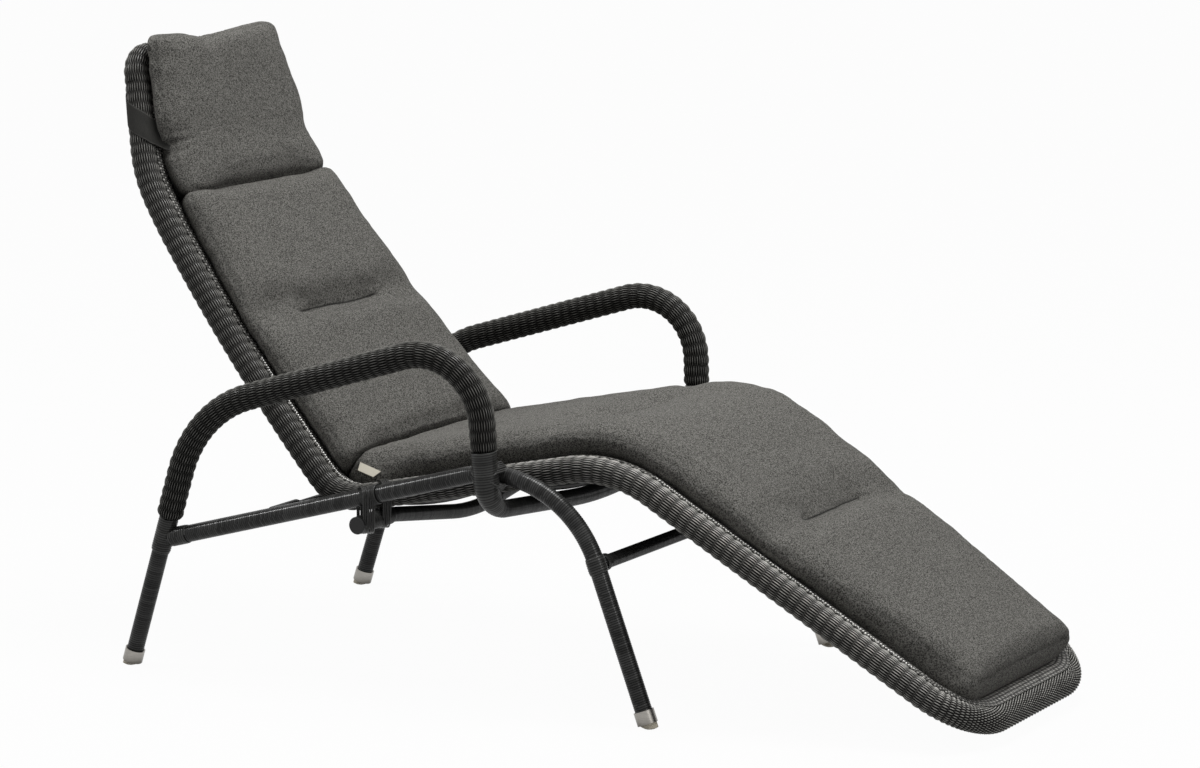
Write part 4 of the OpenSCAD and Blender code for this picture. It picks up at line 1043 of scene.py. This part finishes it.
def plump(node, name):
    """The section's plain solid, remeshed finely and blown up like a filled cover."""
    raw = bmesh.new()
    raw.from_mesh(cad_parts[node].data)
    bmesh.ops.remove_doubles(raw, verts=raw.verts, dist=1e-5)
    mesh = bpy.data.meshes.new(name)
    raw.to_mesh(mesh)
    raw.free()
    piece = bpy.data.objects.new(name, mesh)
    bpy.context.collection.objects.link(piece)
    fine = piece.modifiers.new("fine", "REMESH")
    fine.mode = "VOXEL"
    fine.voxel_size = cover_voxel
    fine.use_smooth_shade = True
    graph = bpy.context.evaluated_depsgraph_get()
    piece.data = bpy.data.meshes.new_from_object(piece.evaluated_get(graph))
    piece.modifiers.clear()
    count = len(piece.data.vertices)
    start = vectors(piece.data.vertices, "co")
    s, n = shell_place(start)
    under = n < panel_level(start[:, 0], s) + 0.010
    under |= (n < 0.030) & (np.abs(start[:, 0]) < half_width(s) - 0.05)
    held = np.where(under, 1.0, 0.0)
    for tuft_s, tuft_half in tufts[node]:
        inside = (np.abs(s - tuft_s) < 0.005) & (np.abs(start[:, 0]) < tuft_half)
        held = np.where(inside, 1.0, held)
    group = piece.vertex_groups.new(name="held")
    group.add([int(k) for k in np.nonzero(held > 0.5)[0]], 1.0, "REPLACE")
    puff = piece.modifiers.new("puff", "CLOTH")
    for key, value in cover_cloth.items():
        setattr(puff.settings, key, value)
    puff.settings.effector_weights.gravity = 0.0
    puff.point_cache.frame_start = 1
    puff.point_cache.frame_end = blown_frames
    for number in range(1, blown_frames + 1):
        bpy.context.scene.frame_set(number)
    graph = bpy.context.evaluated_depsgraph_get()
    blown = bpy.data.meshes.new_from_object(piece.evaluated_get(graph))
    shift = vectors(blown.vertices, "co") - start
    reach = np.linalg.norm(shift, axis=1)
    shift *= np.minimum(1.0, most_blown / np.maximum(reach, 1e-9))[:, None]
    pairs = np.empty(len(piece.data.edges) * 2, dtype=int)
    piece.data.edges.foreach_get("vertices", pairs)
    pairs = pairs.reshape(-1, 2)
    meeting = np.bincount(pairs.ravel(), minlength=count)[:, None]
    for _ in range(16):
        near = np.stack([
            np.bincount(pairs[:, 0], shift[pairs[:, 1], k], count)
            + np.bincount(pairs[:, 1], shift[pairs[:, 0], k], count) for k in range(3)], 1)
        shift = 0.4 * shift + 0.6 * near / meeting
    piece.modifiers.clear()
    piece.vertex_groups.clear()
    piece.data.vertices.foreach_set("co", (start + shift).ravel())
    piece.data.update()
    bpy.context.scene.frame_set(1)
    tailored(piece, node, start, s, n)
    finer = piece.modifiers.new("finer", "SUBSURF")
    finer.levels = finer.render_levels = 1
    for face in piece.data.polygons:
        face.use_smooth = True
    put(piece, fabric_finish, "cushion_fabric", node)


for node, name in (
    ("headrest_cushion", "padded_headrest"),
    ("back_cushion", "padded_back"),
    ("seat_cushion", "padded_seat"),
):
    plump(node, name)

# Headrest strap: a flat band of dark elastic cloth, with a lighter line painted along both edges as a
# painted highlight. It is sewn into the headrest's two sides, slants up over the rim and runs taut across
# the shell's back.
strap_s = 0.142
strap_width = 0.046
strap_slant = 0.074
strap_lift = 0.0207
strap_section = [(-0.020, 0.0400, 0.0), (-0.012, 0.0300, 0.12), (-0.003, 0.0240, 0.27)]
for swing in range(80, -91, -10):
    a = math.radians(swing)
    risen = 0.33 + 0.67 * (80 - swing) / 170
    strap_section.append((strap_lift * math.cos(a), strap_lift * math.sin(a), risen))
strap_section = np.array(strap_section)
back_steps = 10
strap_rows = len(strap_section) + back_steps
strap_columns = 12


def strap_shape(i, j):
    side = np.where(i <= strap_rows, -1.0, 1.0)
    step = np.where(i <= strap_rows, i, 2 * strap_rows - i)
    known = np.minimum(step, len(strap_section) - 1)
    out, lift, risen = strap_section[known].T
    width = strap_width * np.interp(step, [0, 3, 12], [0.80, 0.95, 1.0])
    s = strap_s - strap_slant * risen + width * (j / strap_columns - 0.5)
    over_back = np.clip((step - len(strap_section) + 1) / (back_steps + 1), 0.0, 1.0)
    x = (half_width(s) + out) * (1 - over_back)
    fold = 0.0006 * np.sin(j / strap_columns * 9.0 + 1.0) * np.clip(1 - step / 12, 0, 1)
    return on_shell(side * x, s, lift + fold), np.abs(2 * j / strap_columns - 1)


strap = laid_grid("elastic_strap", 2 * strap_rows, strap_columns, strap_shape,
                  lambda i, j: (i / 8, j / strap_columns), closed=False, capped=False)
webbing_wall = strap.modifiers.new("wall", "SOLIDIFY")
webbing_wall.thickness = 0.0012
webbing_wall.offset = 0.0
webbing_round = strap.modifiers.new("round", "SUBSURF")
webbing_round.levels = webbing_round.render_levels = 1
webbing = Finish("dark_elastic")
web_across = webbing.axes(webbing.laid())[1]
ribbed = (web_across * 22.0).bell()
fuzz = webbing.noise(webbing.place(), 500.0)
web_colour = webbing.blend(ribbed * 0.5 + fuzz * 0.5, (0.020, 0.020, 0.019), (0.060, 0.059, 0.055))
# painted highlight: a thin lighter line along both edges of the strap
painted_edge_highlight = ((web_across - 0.5).maths("ABSOLUTE") - 0.455).maths("ABSOLUTE").maths("LESS_THAN", 0.018)
web_colour = webbing.blend(painted_edge_highlight * 0.6, web_colour, (0.10, 0.098, 0.092))
web_finish = webbing.surface(
    web_colour, 0.85, ribbed, relief=0.0004, strength=0.5, **{"Specular IOR Level": 0.12})
put(strap, web_finish, "strap_fabric", "headrest_strap")

# Label: a short tab of cream satin ribbon, folded and sewn into the seat cushion's side seam. It
# is left blank.
ribbon = Finish("cream_ribbon")
satin_weave = ribbon.noise(ribbon.place((1.0, 6.0, 6.0)), 600.0, 2.0)
ribbon_colour = ribbon.blend(satin_weave, (0.50, 0.47, 0.38), (0.68, 0.64, 0.54))
refinish("cushion_label", ribbon.surface(ribbon_colour, 0.55, satin_weave, relief=0.0002, strength=0.4))

# Floor, sky and lamps: a pale plain floor and an even sky, which both read white to the camera and
# in gloss, a large soft lamp above, a small one in front and one behind.
pure_white = (1.0, 1.0, 1.0, 1.0)


def is_looked_at(finish):
    """1 where the camera sees a surface, straight or through gloss or glass."""
    seen = finish.node("ShaderNodeLightPath", {}, {}, "Is Camera Ray")
    for ray in ("Is Glossy Ray", "Is Transmission Ray"):
        seen = seen.maths("MAXIMUM", finish.node("ShaderNodeLightPath", {}, {}, ray))
    return seen


paper = Finish("studio_floor")
plain = paper.node("ShaderNodeBsdfPrincipled", {}, {"Base Color": (0.22, 0.22, 0.22, 1.0), "Roughness": 0.9})
glow = paper.node("ShaderNodeEmission", {}, {"Color": pure_white, "Strength": 1.05})
glowing = paper.node("ShaderNodeMixShader", {}, {0: is_looked_at(paper) * 0.92, 1: plain, 2: glow})
paper.node("ShaderNodeOutputMaterial", {}, {"Surface": glowing})
flat = bmesh.new()
bmesh.ops.create_grid(flat, x_segments=1, y_segments=1, size=14.0)
ground = bpy.data.meshes.new("studio_floor")
flat.to_mesh(ground)
flat.free()
ground.materials.append(paper.material)
floor = bpy.data.objects.new("studio_floor", ground)
bpy.context.collection.objects.link(floor)

sky = Finish("studio_sky", bpy.data.worlds.new("studio_sky"))
bpy.context.scene.world = sky.material
lit = sky.node("ShaderNodeBackground", {}, {"Color": pure_white, "Strength": 0.17})
backdrop = sky.node("ShaderNodeBackground", {}, {"Color": pure_white, "Strength": 1.0})
chosen = sky.node("ShaderNodeMixShader", {}, {0: is_looked_at(sky), 1: lit, 2: backdrop})
sky.node("ShaderNodeOutputWorld", {}, {"Surface": chosen})


def lamp(name, place, aim, size, power):
    light = bpy.data.lights.new(name, "AREA")
    light.shape = "DISK"
    light.size = size
    light.energy = power
    holder = bpy.data.objects.new(name, light)
    holder.location = place
    holder.rotation_euler = (Vector(aim) - Vector(place)).to_track_quat("-Z", "Y").to_euler()
    bpy.context.collection.objects.link(holder)


lamp("key_lamp", (0.2, -0.6, 4.2), (0.0, 0.0, 0.35), 2.2, 128.0)
lamp("front_lamp", (-1.0, -2.9, 1.5), (0.0, -0.4, 0.25), 1.0, 13.0)
lamp("back_lamp", (-1.5, 3.1, 3.0), (0.0, 0.0, 0.4), 0.9, 40.0)
bpy.context.scene.view_settings.view_transform = "Standard"
